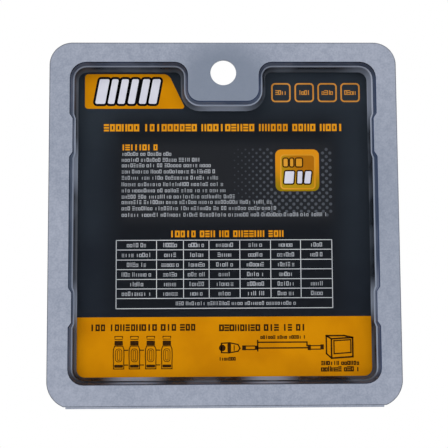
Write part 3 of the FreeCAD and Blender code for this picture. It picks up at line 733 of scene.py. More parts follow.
    def window_regions(self) -> list[bpy.types.Material]:
        """Materials of the window half, in the order of Region."""
        return [
            self.flange, self.edge_line, self.bend_line, self.outer_wall, self.ledge, self.inner_wall, self.window,
        ]

    def display_regions(self) -> list[bpy.types.Material]:
        """Materials of the display half, in the order of Region."""
        return [self.flange, self.edge_line] + [self.display_wall] * 4 + [self.window, self.blister]


def settle(obj: bpy.types.Object, smooth_deg: float = 32.0) -> bpy.types.Object:
    """Turns an object's modifiers into plain mesh and shades it smooth up to an angle.

    Args:
        obj: The object, at the origin.
        smooth_deg: Edges that turn by more than this stay sharp.

    Returns:
        The same object.
    """
    graph = bpy.context.evaluated_depsgraph_get()
    mesh = bpy.data.meshes.new_from_object(obj.evaluated_get(graph))
    obj.modifiers.clear()
    old = obj.data
    obj.data = mesh
    mesh.name = obj.name
    if old.users == 0:
        bpy.data.meshes.remove(old)
    mesh.shade_smooth()
    mesh.set_sharp_from_angle(angle=math.radians(smooth_deg))
    return obj


class MeshMaker:
    """Collects faces in millimetres and turns them into one object in metres."""

    def __init__(self, name: str) -> None:
        """Starts an empty mesh."""
        self.name = name
        self.bm = bmesh.new()

    def ring(self, points: Iterable[tuple[float, float]], depth: float) -> list[bmesh.types.BMVert]:
        """Vertices of an outline at a depth."""
        return [self.bm.verts.new((x * MM, depth * MM, z * MM)) for x, z in points]

    def bridge(self, first: list[bmesh.types.BMVert], second: list[bmesh.types.BMVert], region: int = 0) -> None:
        """Quads between two rings of as many vertices."""
        count = len(first)
        for index in range(count):
            after = (index + 1) % count
            face = self.bm.faces.new((first[index], first[after], second[after], second[index]))
            face.material_index = region

    def fill(self, rings: Sequence[list[bmesh.types.BMVert]], region: int = 0) -> None:
        """Flat faces inside the first ring and outside the others."""
        edges = []
        for ring in rings:
            for index, vert in enumerate(ring):
                following = ring[(index + 1) % len(ring)]
                edge = self.bm.edges.get((vert, following)) or self.bm.edges.new((vert, following))
                edges.append(edge)
        made = bmesh.ops.triangle_fill(self.bm, edges=edges, use_beauty=True, normal=(0, -1, 0))
        for item in made["geom"]:
            if isinstance(item, bmesh.types.BMFace):
                item.material_index = region

    def prism(self, points: Sequence[tuple[float, float]], depth: float, thickness: float, region: int = 0) -> None:
        """Closed flat prism of an anticlockwise outline, its face towards the window side."""
        face_ring = self.ring(points, depth - thickness)
        foot_ring = self.ring(points, depth)
        self.bm.faces.new(face_ring).material_index = region
        self.bm.faces.new(list(reversed(foot_ring))).material_index = region
        self.bridge(foot_ring, face_ring, region)

    def frame(
        self,
        outer: Sequence[tuple[float, float]],
        inner: Sequence[tuple[float, float]],
        depth: float,
        thickness: float,
        region: int = 0,
    ) -> None:
        """Closed flat frame between two outlines of as many points."""
        rings = [
            self.ring(outer, depth - thickness),
            self.ring(inner, depth - thickness),
            self.ring(inner, depth),
            self.ring(outer, depth),
        ]
        for index in range(4):
            self.bridge(rings[index], rings[(index + 1) % 4], region)

    def merge(self) -> None:
        """Joins vertices that lie in one place and drops what has no area."""
        bmesh.ops.remove_doubles(self.bm, verts=self.bm.verts, dist=1e-7)
        bmesh.ops.dissolve_degenerate(self.bm, edges=self.bm.edges, dist=1e-8)

    def face_out(self) -> None:
        """Points the faces of closed pieces outwards."""
        bmesh.ops.recalc_face_normals(self.bm, faces=self.bm.faces)

    def face_window_side(self) -> None:
        """Points the faces of one open skin towards -Y."""
        bmesh.ops.recalc_face_normals(self.bm, faces=self.bm.faces)
        lean = sum(face.normal.y * face.calc_area() for face in self.bm.faces)
        if lean > 0:
            bmesh.ops.reverse_faces(self.bm, faces=self.bm.faces)

    def finish(self, materials: Sequence[bpy.types.Material]) -> bpy.types.Object:
        """Makes the object, at the origin, with its materials."""
        mesh = bpy.data.meshes.new(self.name)
        self.bm.to_mesh(mesh)
        self.bm.free()
        for material in materials:
            mesh.materials.append(material)
        obj = bpy.data.objects.new(self.name, mesh)
        bpy.context.scene.collection.objects.link(obj)
        return obj


@dataclass(frozen=True)
class PackForm:
    """Sizes of the clamshell that both halves share."""

    half_width: float = 55.0
    top: float = 9.7
    height: float = 115.1
    sheet: float = 0.5
    flange_gap: float = 0.1
    hinge_leg: float = 0.05
    hinge_half_length: float = 49.1
    top_radius: float = 7.2
    bottom_radius: float = 8.4
    hole_radius: float = 4.1
    recess_right: float = 48.4
    recess_top: float = 3.3
    bottom_flange: float = 7.35
    recess_top_radius: float = 5.0
    recess_bottom_radius: float = 4.7
    tab_half_width: float = 11.4
    tab_drop: float = 9.35
    tab_shoulder: float = 4.1
    tab_inner: float = 3.9
    notch_ramp: float = 1.5
    notch_radius: float = 0.6
    upper_notch: tuple[float, float] = (-27.0, 13.9)
    lower_notch: tuple[float, float] = (-80.5, 12.4)
    bend_radius: float = 0.3

    @property
    def bottom(self) -> float:
        """Height of the lowest line of the fold."""
        return self.top - self.height

    @property
    def fold_z(self) -> float:
        """Height of the hinge line."""
        return self.bottom + self.sheet + self.flange_gap / 2

    def recess(self, notch_depth: float) -> Outline:
        """Outline of the recess, with its snap notches that deep."""
        right = [Corner(self.recess_right, self.bottom + self.bottom_flange, self.recess_bottom_radius)]
        for base, length in (self.lower_notch, self.upper_notch):
            inner = self.recess_right - notch_depth
            right += [
                Corner(self.recess_right, base, self.notch_radius),
                Corner(inner, base + self.notch_ramp, self.notch_radius),
                Corner(inner, base + length - self.notch_ramp, self.notch_radius),
                Corner(self.recess_right, base + length, self.notch_radius),
            ]
        right += [
            Corner(self.recess_right, self.recess_top, self.recess_top_radius),
            Corner(self.tab_half_width, self.recess_top, self.tab_shoulder),
            Corner(self.tab_half_width, -self.tab_drop, self.tab_inner),
        ]
        left = [Corner(-corner.x, corner.z, corner.radius) for corner in reversed(right)]
        return Outline(tuple(right + left))

    def flange(self, margin: float = 0.0) -> list[tuple[float, float]]:
        """Outline of a flange, its bottom corners cut by the fold.

        Args:
            margin: How far inside the true edge the outline lies.

        Returns:
            The outline's points, anticlockwise from the left end of the fold.
        """
        radius = self.bottom_radius - margin
        side = self.half_width - margin
        low = self.bottom + margin
        full = Outline((
            Corner(-side, low, radius),
            Corner(side, low, radius),
            Corner(side, self.top - margin, self.top_radius - margin),
            Corner(-side, self.top - margin, self.top_radius - margin),
        )).points(28)
        line = self.fold_z + self.hinge_leg + margin
        drop = low + radius - line
        reach = side - radius + math.sqrt(radius ** 2 - drop ** 2)
        above = [point for point in full if point[1] > line + 0.02]
        start = min((k for k in range(len(above)) if above[k][0] > 0), key=lambda k: above[k][1])
        return [(-reach, line), (reach, line)] + above[start:] + above[:start]


@dataclass
class FormedHalf:
    """One half of the clamshell: a flange with a formed middle, as one skin given its thickness."""

    form: PackForm
    name: str
    node: str
    body: Body
    flange_depth: float
    steps: tuple[Step, ...]
    notch_depths: tuple[tuple[float, float], ...]
    bend_steps: int = 4
    edge_width: float = 0.24

    def notch_at(self, depth: float) -> float:
        """How deep the snap notches are at a depth of the wall."""
        stops = self.notch_depths
        for (low, low_value), (high, high_value) in zip(stops, stops[1:]):
            if depth <= high:
                share = max(0.0, (depth - low) / (high - low))
                return low_value + share * (high_value - low_value)
        return stops[-1][1]

    def profile(self, steps: Sequence[Step], lead: float, tail: float, first: Region) -> list[Rib]:
        """The bent section of a wall, as close ribs.

        Args:
            steps: The section's corners.
            lead: How far outside the first corner the section starts.
            tail: How far inside the last corner it ends.
            first: Faces before the first bend.

        Returns:
            The section's ribs, with each corner bent to the form's radius or as far as its sides allow.
        """
        corners = [(steps[0].inset - lead, steps[0].depth)]
        corners += [(step.inset, step.depth) for step in steps]
        corners.append((steps[-1].inset + tail, steps[-1].depth))
        result = [Rib(corners[0][0], corners[0][1], first)]
        for index, step in enumerate(steps):
            before, at, after = corners[index:index + 3]
            room = 0.45 * min(math.dist(before, at), math.dist(at, after))
            arc = rounded(before, at, after, min(self.form.bend_radius, room), self.bend_steps)
            result += [Rib(inset, depth, step.bend) for inset, depth in arc[:-1]]
            result.append(Rib(arc[-1][0], arc[-1][1], step.beyond))
        return result

    def sweep(
        self, maker: MeshMaker, outline_at: Callable[[float], Outline], section: Sequence[Rib]
    ) -> tuple[list[bmesh.types.BMVert], list[bmesh.types.BMVert]]:
        """Skins a section round an outline.

        Args:
            maker: The mesh to add to.
            outline_at: Gives the outline at a depth.
            section: The section's ribs.

        Returns:
            The first and the last ring.
        """
        rings = []
        for rib in section:
            rings.append(maker.ring(outline_at(rib.depth).inset(rib.inset).points(6), rib.depth))
        for index in range(len(rings) - 1):
            maker.bridge(rings[index], rings[index + 1], section[index].region)
        return rings[0], rings[-1]

    def extra_holes(self, maker: MeshMaker) -> list[list[bmesh.types.BMVert]]:
        """Rings that the flat middle is open for; none on a plain window."""
        return []

    def build(self, materials: Sequence[bpy.types.Material]) -> bpy.types.Object:
        """Makes the half, gives it its thickness and puts it on its body.

        Args:
            materials: Materials in the order of Region.

        Returns:
            The finished piece.
        """
        maker = MeshMaker(self.name)
        section = self.profile(self.steps, lead=1.0, tail=1.0, first=Region.FLANGE)
        first, last = self.sweep(maker, lambda depth: self.form.recess(self.notch_at(depth)), section)
        edge = maker.ring(self.form.flange(), self.flange_depth)
        inner_edge = maker.ring(self.form.flange(self.edge_width), self.flange_depth)
        rim = maker.ring(circle(0, 0, self.form.hole_radius + self.edge_width), self.flange_depth)
        hole = maker.ring(circle(0, 0, self.form.hole_radius), self.flange_depth)
        maker.fill([edge, inner_edge], Region.EDGE_LINE)
        maker.fill([inner_edge, rim, first], Region.FLANGE)
        maker.bridge(rim, hole, Region.EDGE_LINE)
        maker.fill([last] + self.extra_holes(maker), Region.CLEAR)
        maker.merge()
        maker.face_window_side()
        obj = maker.finish(materials)
        solid = obj.modifiers.new("thickness", "SOLIDIFY")
        solid.thickness = self.form.sheet * MM
        solid.offset = -1.0
        solid.use_even_offset = True
        solid.use_quality_normals = True
        settle(obj, 40.0)
        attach(obj, self.body.value)
        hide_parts(self.node)
        LOG.info("%s: %d faces", self.name, len(obj.data.polygons))
        return obj


@dataclass
class BlisterHalf(FormedHalf):
    """The display half, whose flat middle rises into two product blisters."""

    pitch: float = 48.0
    unit_z: float = -72.8
    body_half: float = 10.8
    neck_half: float = 8.4
    foot: float = -1.2
    neck_rise: float = 36.0
    crown: float = 52.2
    corner: float = 3.0
    shoulder_radius: float = 2.0
    neck_radius: float = 0.6
    blister_steps: tuple[Step, ...] = ()

    def blister(self, x: float) -> Outline:
        """Outline of one blister's mouth."""
        shoulder = self.neck_rise - (self.body_half - self.neck_half)
        right = [
            (self.body_half, self.foot, self.corner),
            (self.body_half, shoulder, self.shoulder_radius),
            (self.neck_half, self.neck_rise, self.neck_radius),
            (self.neck_half, self.crown, self.corner),
        ]
        left = [(-u, w, radius) for u, w, radius in reversed(right)]
        return Outline(tuple(Corner(x + u, self.unit_z + w, radius) for u, w, radius in right + left))

    def extra_holes(self, maker: MeshMaker) -> list[list[bmesh.types.BMVert]]:
        """Skins both blisters and returns their mouths."""
        mouths = []
        for x in (-self.pitch / 2, self.pitch / 2):
            section = self.profile(self.blister_steps, lead=0.8, tail=0.8, first=Region.CLEAR)
            mouth, roof = self.sweep(maker, lambda depth, at=x: self.blister(at), section)
            maker.fill([roof], Region.BLISTER)
            mouths.append(mouth)
        return mouths


@dataclass
class LivingHinge:
    """The folded strip of sheet along the bottom edge; here it stays folded and does not unroll as the lid opens."""

    form: PackForm
    steps: int = 16
    spans: int = 60

    def build(self, material: bpy.types.Material) -> bpy.types.Object:
        """Makes the strip in place of the hinge web and gives it its thickness."""
        bm = bmesh.new()
        gap = self.form.flange_gap / 2
        axis_y = gap
        leg = self.form.hinge_leg
        section = [(axis_y + gap + self.form.sheet, leg)]
        outer = gap + self.form.sheet
        for index in range(self.steps + 1):
            angle = -math.pi * index / self.steps
            section.append((axis_y + outer * math.cos(angle), outer * math.sin(angle)))
        section.append((axis_y - outer, leg))
        rows = []
        for index in range(self.spans + 1):
            x = -self.form.hinge_half_length + 2 * self.form.hinge_half_length * index / self.spans
            rows.append([bm.verts.new((x * MM, y * MM, (self.form.fold_z + z) * MM)) for y, z in section])
        for first, second in zip(rows, rows[1:]):
            for k in range(len(section) - 1):
                bm.faces.new((first[k], first[k + 1], second[k + 1], second[k]))
        bmesh.ops.recalc_face_normals(bm, faces=bm.faces)
        mean = sum((face.normal.z * face.calc_area() for face in bm.faces), 0.0)
        if mean > 0:
            bmesh.ops.reverse_faces(bm, faces=bm.faces)
        mesh = bpy.data.meshes.new("hinge_fold")
        bm.to_mesh(mesh)
        bm.free()
        mesh.materials.append(material)
        obj = bpy.data.objects.new("hinge_fold", mesh)
        bpy.context.scene.collection.objects.link(obj)
        solid = obj.modifiers.new("thickness", "SOLIDIFY")
        solid.thickness = self.form.sheet * MM
        solid.offset = -1.0
        settle(obj, 50.0)
        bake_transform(obj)
        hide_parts("hinge_web")
        return obj


class Stamp:
    """Geometry Nodes tree that stands small shapes on the points of a mesh and realises them."""

    def __init__(self, name: str, inputs: dict[str, str]) -> None:
        """Starts the tree with a mesh of points, the named inputs and an output.

        Args:
            name: Name of the tree.
            inputs: Kind of socket for each input's label.
        """
        self.tree = bpy.data.node_groups.new(name, "GeometryNodeTree")
        self.tree.interface.new_socket(name="Points", in_out="INPUT", socket_type="NodeSocketGeometry")
        self.sockets: dict[str, str] = {}
        for label, kind in inputs.items():
            socket = self.tree.interface.new_socket(name=label, in_out="INPUT", socket_type=kind)
            self.sockets[label] = socket.identifier
        self.tree.interface.new_socket(name="Geometry", in_out="OUTPUT", socket_type="NodeSocketGeometry")
        self.given = self.node("NodeGroupInput").outputs

    def node(self, kind: str, **settings: object) -> bpy.types.Node:
        """Adds a node and sets its properties."""
        node = self.tree.nodes.new(kind)
        for key, value in settings.items():
            setattr(node, key, value)
        return node

    def give(self, socket: bpy.types.NodeSocket, value: object) -> None:
        """Links a socket or sets a plain value."""
        if isinstance(value, bpy.types.NodeSocket):
            self.tree.links.new(value, socket)
        else:
            socket.default_value = value

    def number(self, operation: str, first: object, second: object) -> bpy.types.NodeSocket:
        """One arithmetic step."""
        node = self.node("ShaderNodeMath", operation=operation)
        self.give(node.inputs[0], first)
        self.give(node.inputs[1], second)
        return node.outputs[0]

    def vector(self, x: object, y: object, z: object) -> bpy.types.NodeSocket:
        """A vector from three sockets or numbers."""
        node = self.node("ShaderNodeCombineXYZ")
        for socket, value in zip(node.inputs, (x, y, z)):
            self.give(socket, value)
        return node.outputs[0]

    def chance(self, kind: str, seed: object, **limits: object) -> bpy.types.NodeSocket:
        """A random value for each point.

        Args:
            kind: FLOAT, INT or BOOLEAN.
            seed: Seed of the values.
            limits: Min and Max, or Probability.

        Returns:
            The value's socket.
        """
        node = self.node("FunctionNodeRandomValue", data_type=kind)
        for socket in node.inputs:
            if socket.enabled and socket.name in limits:
                self.give(socket, limits[socket.name])
        self.give(node.inputs["Seed"], seed)
        return [socket for socket in node.outputs if socket.enabled][0]

    def stand(self, shapes: bpy.types.NodeSocket, scale: bpy.types.NodeSocket, choice: object = None) -> None:
        """Places the shapes on the points, realises them, sets the ink and ends the tree.

        Args:
            shapes: The shape, or several as instances.
            scale: Scale on each point.
            choice: Which of several shapes each point takes.
        """
        place = self.node("GeometryNodeInstanceOnPoints")
        self.give(place.inputs["Points"], self.given["Points"])
        self.give(place.inputs["Instance"], shapes)
        self.give(place.inputs["Scale"], scale)
        if choice is not None:
            place.inputs["Pick Instance"].default_value = True
            self.give(place.inputs["Instance Index"], choice)
        real = self.node("GeometryNodeRealizeInstances")
        self.give(real.inputs["Geometry"], place.outputs["Instances"])
        ink = self.node("GeometryNodeSetMaterial")
        self.give(ink.inputs["Geometry"], real.outputs["Geometry"])
        self.give(ink.inputs["Material"], self.given["Ink"])
        self.give(self.node("NodeGroupOutput").inputs["Geometry"], ink.outputs["Geometry"])

    def press(
        self, points: Sequence[Sequence[float]], values: dict[str, object], sizes: Sequence[float] = ()
    ) -> bpy.types.Mesh:
        """Evaluates the tree once.

        Args:
            points: Places of the shapes, in millimetres.
            values: A value for each input, in the tree's own units.
            sizes: Share of its full size for each point, kept as the attribute size.

        Returns:
            A plain mesh in metres.
        """
        mesh = bpy.data.meshes.new("points")
        mesh.from_pydata([tuple(value * MM for value in point) for point in points], [], [])
        if sizes:
            mesh.attributes.new("size", "FLOAT", "POINT").data.foreach_set("value", list(sizes))
        host = bpy.data.objects.new("points", mesh)
        bpy.context.scene.collection.objects.link(host)
        modifier = host.modifiers.new("stamp", "NODES")
        modifier.node_group = self.tree
        for label, value in values.items():
            modifier[self.sockets[label]] = value
        graph = bpy.context.evaluated_depsgraph_get()
        result = bpy.data.meshes.new_from_object(host.evaluated_get(graph))
        bpy.data.objects.remove(host)
        bpy.data.meshes.remove(mesh)
        return result


class TypeStamp(Stamp):
    """Greeked type: each point takes a bar, twin posts, a hollow frame or a stack of bars."""

    def __init__(self) -> None:
        """Builds the tree: four shapes of small blocks, one picked at random for each point."""
        kinds = {name: "NodeSocketFloat" for name in ("Width", "Stroke", "Height", "Low Share", "Tall Share", "Film")}
        super().__init__("greeked_type", {**kinds, "Seed": "NodeSocketInt", "Ink": "NodeSocketMaterial"})
        given = self.given
        wide, stroke, high = given["Width"], given["Stroke"], given["Height"]
        side = self.number("MULTIPLY", self.number("SUBTRACT", wide, stroke), 0.5)
        other = self.number("MULTIPLY", side, -1.0)
        middle = self.number("MULTIPLY", high, 0.5)
        foot = self.number("MULTIPLY", stroke, 0.5)
        head = self.number("SUBTRACT", high, foot)
        inside = self.number("SUBTRACT", wide, self.number("MULTIPLY", stroke, 2.0))
        posts = [self.block(stroke, high, other, middle), self.block(stroke, high, side, middle)]
        rails = [self.block(inside, stroke, 0.0, foot), self.block(inside, stroke, 0.0, head)]
        shapes = (
            posts + rails,
            posts,
            [self.block(wide, stroke, 0.0, height) for height in (foot, middle, head)],
            posts + rails,
            [self.block(stroke, high, 0.0, middle)],
        )
        case = self.node("GeometryNodeJoinGeometry")
        for blocks in reversed(shapes):
            shape = self.node("GeometryNodeJoinGeometry")
            for block in reversed(blocks):
                self.tree.links.new(block, shape.inputs["Geometry"])
            single = self.node("GeometryNodeGeometryToInstance")
            self.give(single.inputs["Geometry"], shape.outputs["Geometry"])
            self.tree.links.new(single.outputs["Instances"], case.inputs["Geometry"])
        tall = self.node("GeometryNodeSwitch", input_type="FLOAT")
        later = self.number("ADD", given["Seed"], 7.0)
        self.give(tall.inputs["Switch"], self.chance("BOOLEAN", later, Probability=given["Tall Share"]))
        self.give(tall.inputs["False"], given["Low Share"])
        tall.inputs["True"].default_value = 1.0
        spread = self.chance("FLOAT", given["Seed"], Min=0.86, Max=1.08)
        pick = self.chance("INT", self.number("ADD", given["Seed"], 3.0), Min=0, Max=len(shapes) - 1)
        self.stand(case.outputs["Geometry"], self.vector(spread, 1.0, tall.outputs["Output"]), pick)

    def block(self, width: object, height: object, x: object, z: object) -> bpy.types.NodeSocket:
        """A flat block of the film's thickness, centred on a place of the letter's plane."""
        cube = self.node("GeometryNodeMeshCube")
        self.give(cube.inputs["Size"], self.vector(width, self.given["Film"], height))
        move = self.node("GeometryNodeTransform")
        self.give(move.inputs["Geometry"], cube.outputs["Mesh"])
        lift = self.number("MULTIPLY", self.given["Film"], -0.5)
        self.give(move.inputs["Translation"], self.vector(x, lift, z))
        return move.outputs["Geometry"]


class TypeFace(NamedTuple):
    """Proportions of a greeked type, as shares of its cap height."""

    pitch: float
    width: float
    stroke: float
    low_share: float
    tall_share: float


SMALL_TYPE = TypeFace(0.76, 0.62, 0.2, 0.76, 0.34)
LABEL_TYPE = TypeFace(0.78, 0.66, 0.26, 0.82, 0.4)
BOLD_TYPE = TypeFace(0.82, 0.7, 0.25, 1.0, 1.0)


class DotStamp(Stamp):
    """Halftone dots: a flat round dot on each point, as large as the point's size says."""

    def __init__(self) -> None:
        """Builds the tree: one closed dot, scaled by an attribute."""
        super().__init__("halftone_dots", {
            "Dot Radius": "NodeSocketFloat", "Film": "NodeSocketFloat", "Ink": "NodeSocketMaterial",
        })
        dot = self.node("GeometryNodeMeshCylinder", fill_type="NGON")
        dot.inputs["Vertices"].default_value = 10
        self.give(dot.inputs["Radius"], self.given["Dot Radius"])
        self.give(dot.inputs["Depth"], self.given["Film"])
        upright = self.node("GeometryNodeTransform")
        self.give(upright.inputs["Geometry"], dot.outputs["Mesh"])
        upright.inputs["Rotation"].default_value = (math.pi / 2, 0.0, 0.0)
        lift = self.number("MULTIPLY", self.given["Film"], -0.5)
        self.give(upright.inputs["Translation"], self.vector(0.0, lift, 0.0))
        size = self.node("GeometryNodeInputNamedAttribute", data_type="FLOAT")
        size.inputs["Name"].default_value = "size"
        share = [socket for socket in size.outputs if socket.enabled][0]
        self.stand(upright.outputs["Geometry"], self.vector(share, 1.0, share))


class Box(NamedTuple):
    """A flat field on the card."""

    left: float
    right: float
    low: float
    high: float

    def outline(self, radius: float, steps: int = 6) -> list[tuple[float, float]]:
        """The field as a rounded rectangle."""
        return Outline.rectangle(*self, radius).points(steps)

    def within(self, margin: float) -> "Box":
        """The field, smaller by a margin all round."""
        return Box(self.left + margin, self.right - margin, self.low + margin, self.high - margin)


@dataclass
class CardPrint:
    """Print on the card's window side: thin flat fields, greeked type, a table and small drawings."""

    paint: Paint
    face: float = 4.6
    display_face: float = 5.0
    film: float = 0.02
    title: Box = Box(-38.3, 38.5, -17.95, -15.6)
    badge: Box = Box(-44.25, -12.1, -10.6, 0.7)
    badge_slope: float = 5.4
    band: Box = Box(-47.4, 47.4, -96.9, -77.2)
    square: Box = Box(16.55, 30.55, -37.4, -23.9)
    icon_left: tuple[float, ...] = (15.5, 23.0, 30.4, 37.8)
    icon_size: float = 6.25
    icon_low: float = -8.5
    list_left: float = -32.5
    list_rows: tuple[tuple[float, float], ...] = (
        (-25.24, -16.6), (-27.17, -7.4), (-28.95, -4.0), (-30.94, -2.7), (-32.94, -1.7), (-35.03, -0.1),
        (-37.02, 0.6), (-39.0, 3.6), (-40.76, 15.4), (-42.75, 16.7), (-44.82, 32.9),
    )
    table_columns: tuple[float, ...] = (-34.06, -21.34, -12.83, -4.76, 5.0, 14.75, 24.28, 34.23)
    table_rows: tuple[float, ...] = (-52.94, -55.99, -59.17, -62.21, -65.31, -68.31, -71.33, -74.51)
    unit_drawings: tuple[float, ...] = (-33.17, -28.26, -23.15, -18.11)
    word_gap: float = 0.6
    dot_pitch: float = 2.35
    dot_radius: float = 0.5
    dot_field: Box = Box(3.2, 34.6, -46.2, -21.5)
    dot_fade_mm: float = 24.0
    dot_rows: int = 24
    dot_columns: int = 24
    type_stamp: TypeStamp = field(default_factory=TypeStamp)

    def sheet(self, layer: int) -> float:
        """Depth of the foot of a layer of print, counted from the card."""
        return self.face - self.film * layer

    def letters(self, place: Box, pitch: float, seed: int) -> list[float]:
        """Middles of the letters of one run, in words with a gap between them.

        Args:
            place: The run's field.
            pitch: Room that a letter takes.
            seed: Seed of the words' lengths.

        Returns:
            Distances from the pack's middle, the first and the last at the ends of the field.
        """
        draw = random.Random(seed)
        span = place.right - place.left
        middles = [0.5]
        word = draw.randint(3, 8)
        while middles[-1] + 0.5 < span / pitch:
            word -= 1
            middles.append(middles[-1] + (1.0 if word else 1.0 + self.word_gap))
            word = word or draw.randint(2, 9)
        step = span / (middles[-1] + 0.5)
        return [place.left + middle * step for middle in middles]

    def write(
        self, maker: MeshMaker, place: Box, face: TypeFace, seed: int, layer: int, ink: bpy.types.Material
    ) -> None:
        """Adds one run of greeked type.

        Args:
            maker: The piece that the run belongs to.
            place: The run's field, as high as its capitals.
            face: Proportions of the letters.
            seed: Seed of its words.
            layer: Layer of print that it lies on.
            ink: The ink's material.
        """
        high = place.high - place.low
        depth = self.sheet(layer)
        points = [(x, depth, place.low) for x in self.letters(place, face.pitch * high, seed)]
        mesh = self.type_stamp.press(points, {
            "Width": face.width * high * MM, "Stroke": face.stroke * high * MM, "Height": high * MM,
            "Film": self.film * MM, "Low Share": face.low_share, "Tall Share": face.tall_share,
            "Seed": seed, "Ink": ink,
        })
        maker.bm.from_mesh(mesh)
        bpy.data.meshes.remove(mesh)

    def line(
        self, maker: MeshMaker, points: Sequence[tuple[float, float]], width: float, layer: int, closed: bool = False
    ) -> None:
        """Adds a drawn line as a run of flat bars, one for each stretch."""
        path = list(points) + ([points[0]] if closed else [])
        half = width / 2
        for start, end in zip(path, path[1:]):
            along = heading(start, end)
            side = (-along[1] * half, along[0] * half)
            a = (start[0] - along[0] * half, start[1] - along[1] * half)
            b = (end[0] + along[0] * half, end[1] + along[1] * half)
            outline = [
                (a[0] - side[0], a[1] - side[1]), (b[0] - side[0], b[1] - side[1]),
                (b[0] + side[0], b[1] + side[1]), (a[0] + side[0], a[1] + side[1]),
            ]
            maker.prism(outline, self.sheet(layer), self.film)

    def place(self, maker: MeshMaker, ink: bpy.types.Material) -> bpy.types.Object:
        """Finishes a printed piece and puts it on the card's body."""
        maker.face_out()
        obj = maker.finish([ink])
        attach(obj, Body.DISPLAY.value)
        LOG.info("%s: %d faces", obj.name, len(obj.data.polygons))
        return obj

    def badge_outline(self, inset: float = 0.0) -> list[tuple[float, float]]:
        """The badge: a field whose right side slopes."""
        box = self.badge
        corners = Outline((
            Corner(box.left, box.low, 1.1),
            Corner(box.right, box.low, 0.7),
            Corner(box.right - self.badge_slope, box.high, 2.6),
            Corner(box.left, box.high, 1.1),
        ))
        return corners.inset(inset).points(8)

    def band_outline(self) -> list[tuple[float, float]]:
        """The band along the foot of the card, round at its lower corners."""
        band = self.band
        return Outline((
            Corner(band.left, band.low, 3.7), Corner(band.right, band.low, 3.7),
            Corner(band.right, band.high, 0.1), Corner(band.left, band.high, 0.1),
        )).points(8)

    def orange_fields(self) -> None:
        """Lower band, badge field and icon frames."""
        maker = MeshMaker("orange_fields")
        maker.prism(self.band_outline(), self.sheet(0), self.film)
        maker.prism(self.badge_outline(), self.sheet(0), self.film)
        self.place(maker, self.paint.orange)
        maker = MeshMaker("icon_frames")
        for left in self.icon_left:
            box = Box(left, left + self.icon_size, self.icon_low, self.icon_low + self.icon_size)
            maker.frame(box.outline(1.25), box.within(0.48).outline(0.8), self.sheet(0), self.film)
            mark = Box(left + 1.3, left + self.icon_size - 1.3, box.low + 2.4, box.low + 3.9)
            self.write(maker, mark, SMALL_TYPE, int(left), 0, self.paint.icon)
        self.place(maker, self.paint.icon)

    def display_band(self) -> None:
        """The same orange band along the foot of the card's display side."""
        maker = MeshMaker("display_band")
        maker.prism(self.band_outline(), self.display_face + self.film, self.film)
        self.place(maker, self.paint.orange)

    def badge_marks(self) -> None:
        """Three slanted twin bars on the badge, white on a black outline."""
        dark = MeshMaker("badge_bar_outlines")
        pale = MeshMaker("badge_bars")
        low, high, lean = -9.0, -0.95, 1.5
        for left, right in ((-41.0, -37.8), (-37.0, -34.9), (-33.9, -31.6), (-30.6, -28.4), (-27.1, -24.8), (-24.0, -21.4)):
            bar = Outline((
                Corner(left, low, 0.5), Corner(right, low, 0.5),
                Corner(right + lean, high, 0.5), Corner(left + lean, high, 0.5),
            ))
            dark.prism(bar.inset(-0.75).points(4), self.sheet(1), self.film)
            pale.prism(bar.points(4), self.sheet(2), self.film)
        self.place(dark, self.paint.black)
        self.place(pale, self.paint.white)

    def headings(self) -> None:
        """Title, list heading and table heading in orange type."""
        maker = MeshMaker("orange_headings")
        ink = self.paint.heading
        self.write(maker, self.title, BOLD_TYPE, 11, 0, ink)
        self.write(maker, Box(-32.6, -21.0, -24.1, -22.2), BOLD_TYPE, 5, 0, ink)
        self.write(maker, Box(-17.3, 19.1, -52.0, -49.9), BOLD_TYPE, 23, 0, ink)
        self.place(maker, ink)

    def list_text(self) -> None:
        """Eleven ragged lines of small pale type."""
        maker = MeshMaker("list_text")
        for index, (middle, right) in enumerate(self.list_rows):
            self.write(
                maker, Box(self.list_left, right, middle - 0.62, middle + 0.62), SMALL_TYPE, 40 + index, 0, self.paint.pale
            )
        self.place(maker, self.paint.pale)

    def table(self) -> None:
        """Ruled table with a merged last row, and a run of type in each filled cell."""
        lines = MeshMaker("table_rules")
        left, right = self.table_columns[0], self.table_columns[-1]
        top, bottom = self.table_rows[0], self.table_rows[-1]
        for z in self.table_rows:
            self.line(lines, [(left, z), (right, z)], 0.22, 0)
        for x in self.table_columns:
            foot = bottom if x in (left, right) else self.table_rows[-2]
            self.line(lines, [(x, foot), (x, top)], 0.22, 0)
        self.place(lines, self.paint.rule)
        text = MeshMaker("table_text")
        draw = random.Random(8)
        for row in range(6):
            middle = (self.table_rows[row] + self.table_rows[row + 1]) / 2
            for column in range(7):
                if column == 6 and row in (2, 3):
                    continue
                centre = (self.table_columns[column] + self.table_columns[column + 1]) / 2
                if column == 0:
                    length = 9.4 if row % 2 else (6.2, 6.2, 4.3)[row // 2]
                else:
                    length = draw.choice((3.9, 4.4, 5.0, 5.5))
                place = Box(centre - length / 2, centre + length / 2, middle - 0.68, middle + 0.68)
                self.write(text, place, SMALL_TYPE, 100 + 7 * row + column, 0, self.paint.pale)
        middle = (self.table_rows[-2] + self.table_rows[-1]) / 2
        self.write(text, Box(-15.4, 22.6, middle - 0.6, middle + 0.6), SMALL_TYPE, 160, 0, self.paint.pale)
        self.place(text, self.paint.pale)

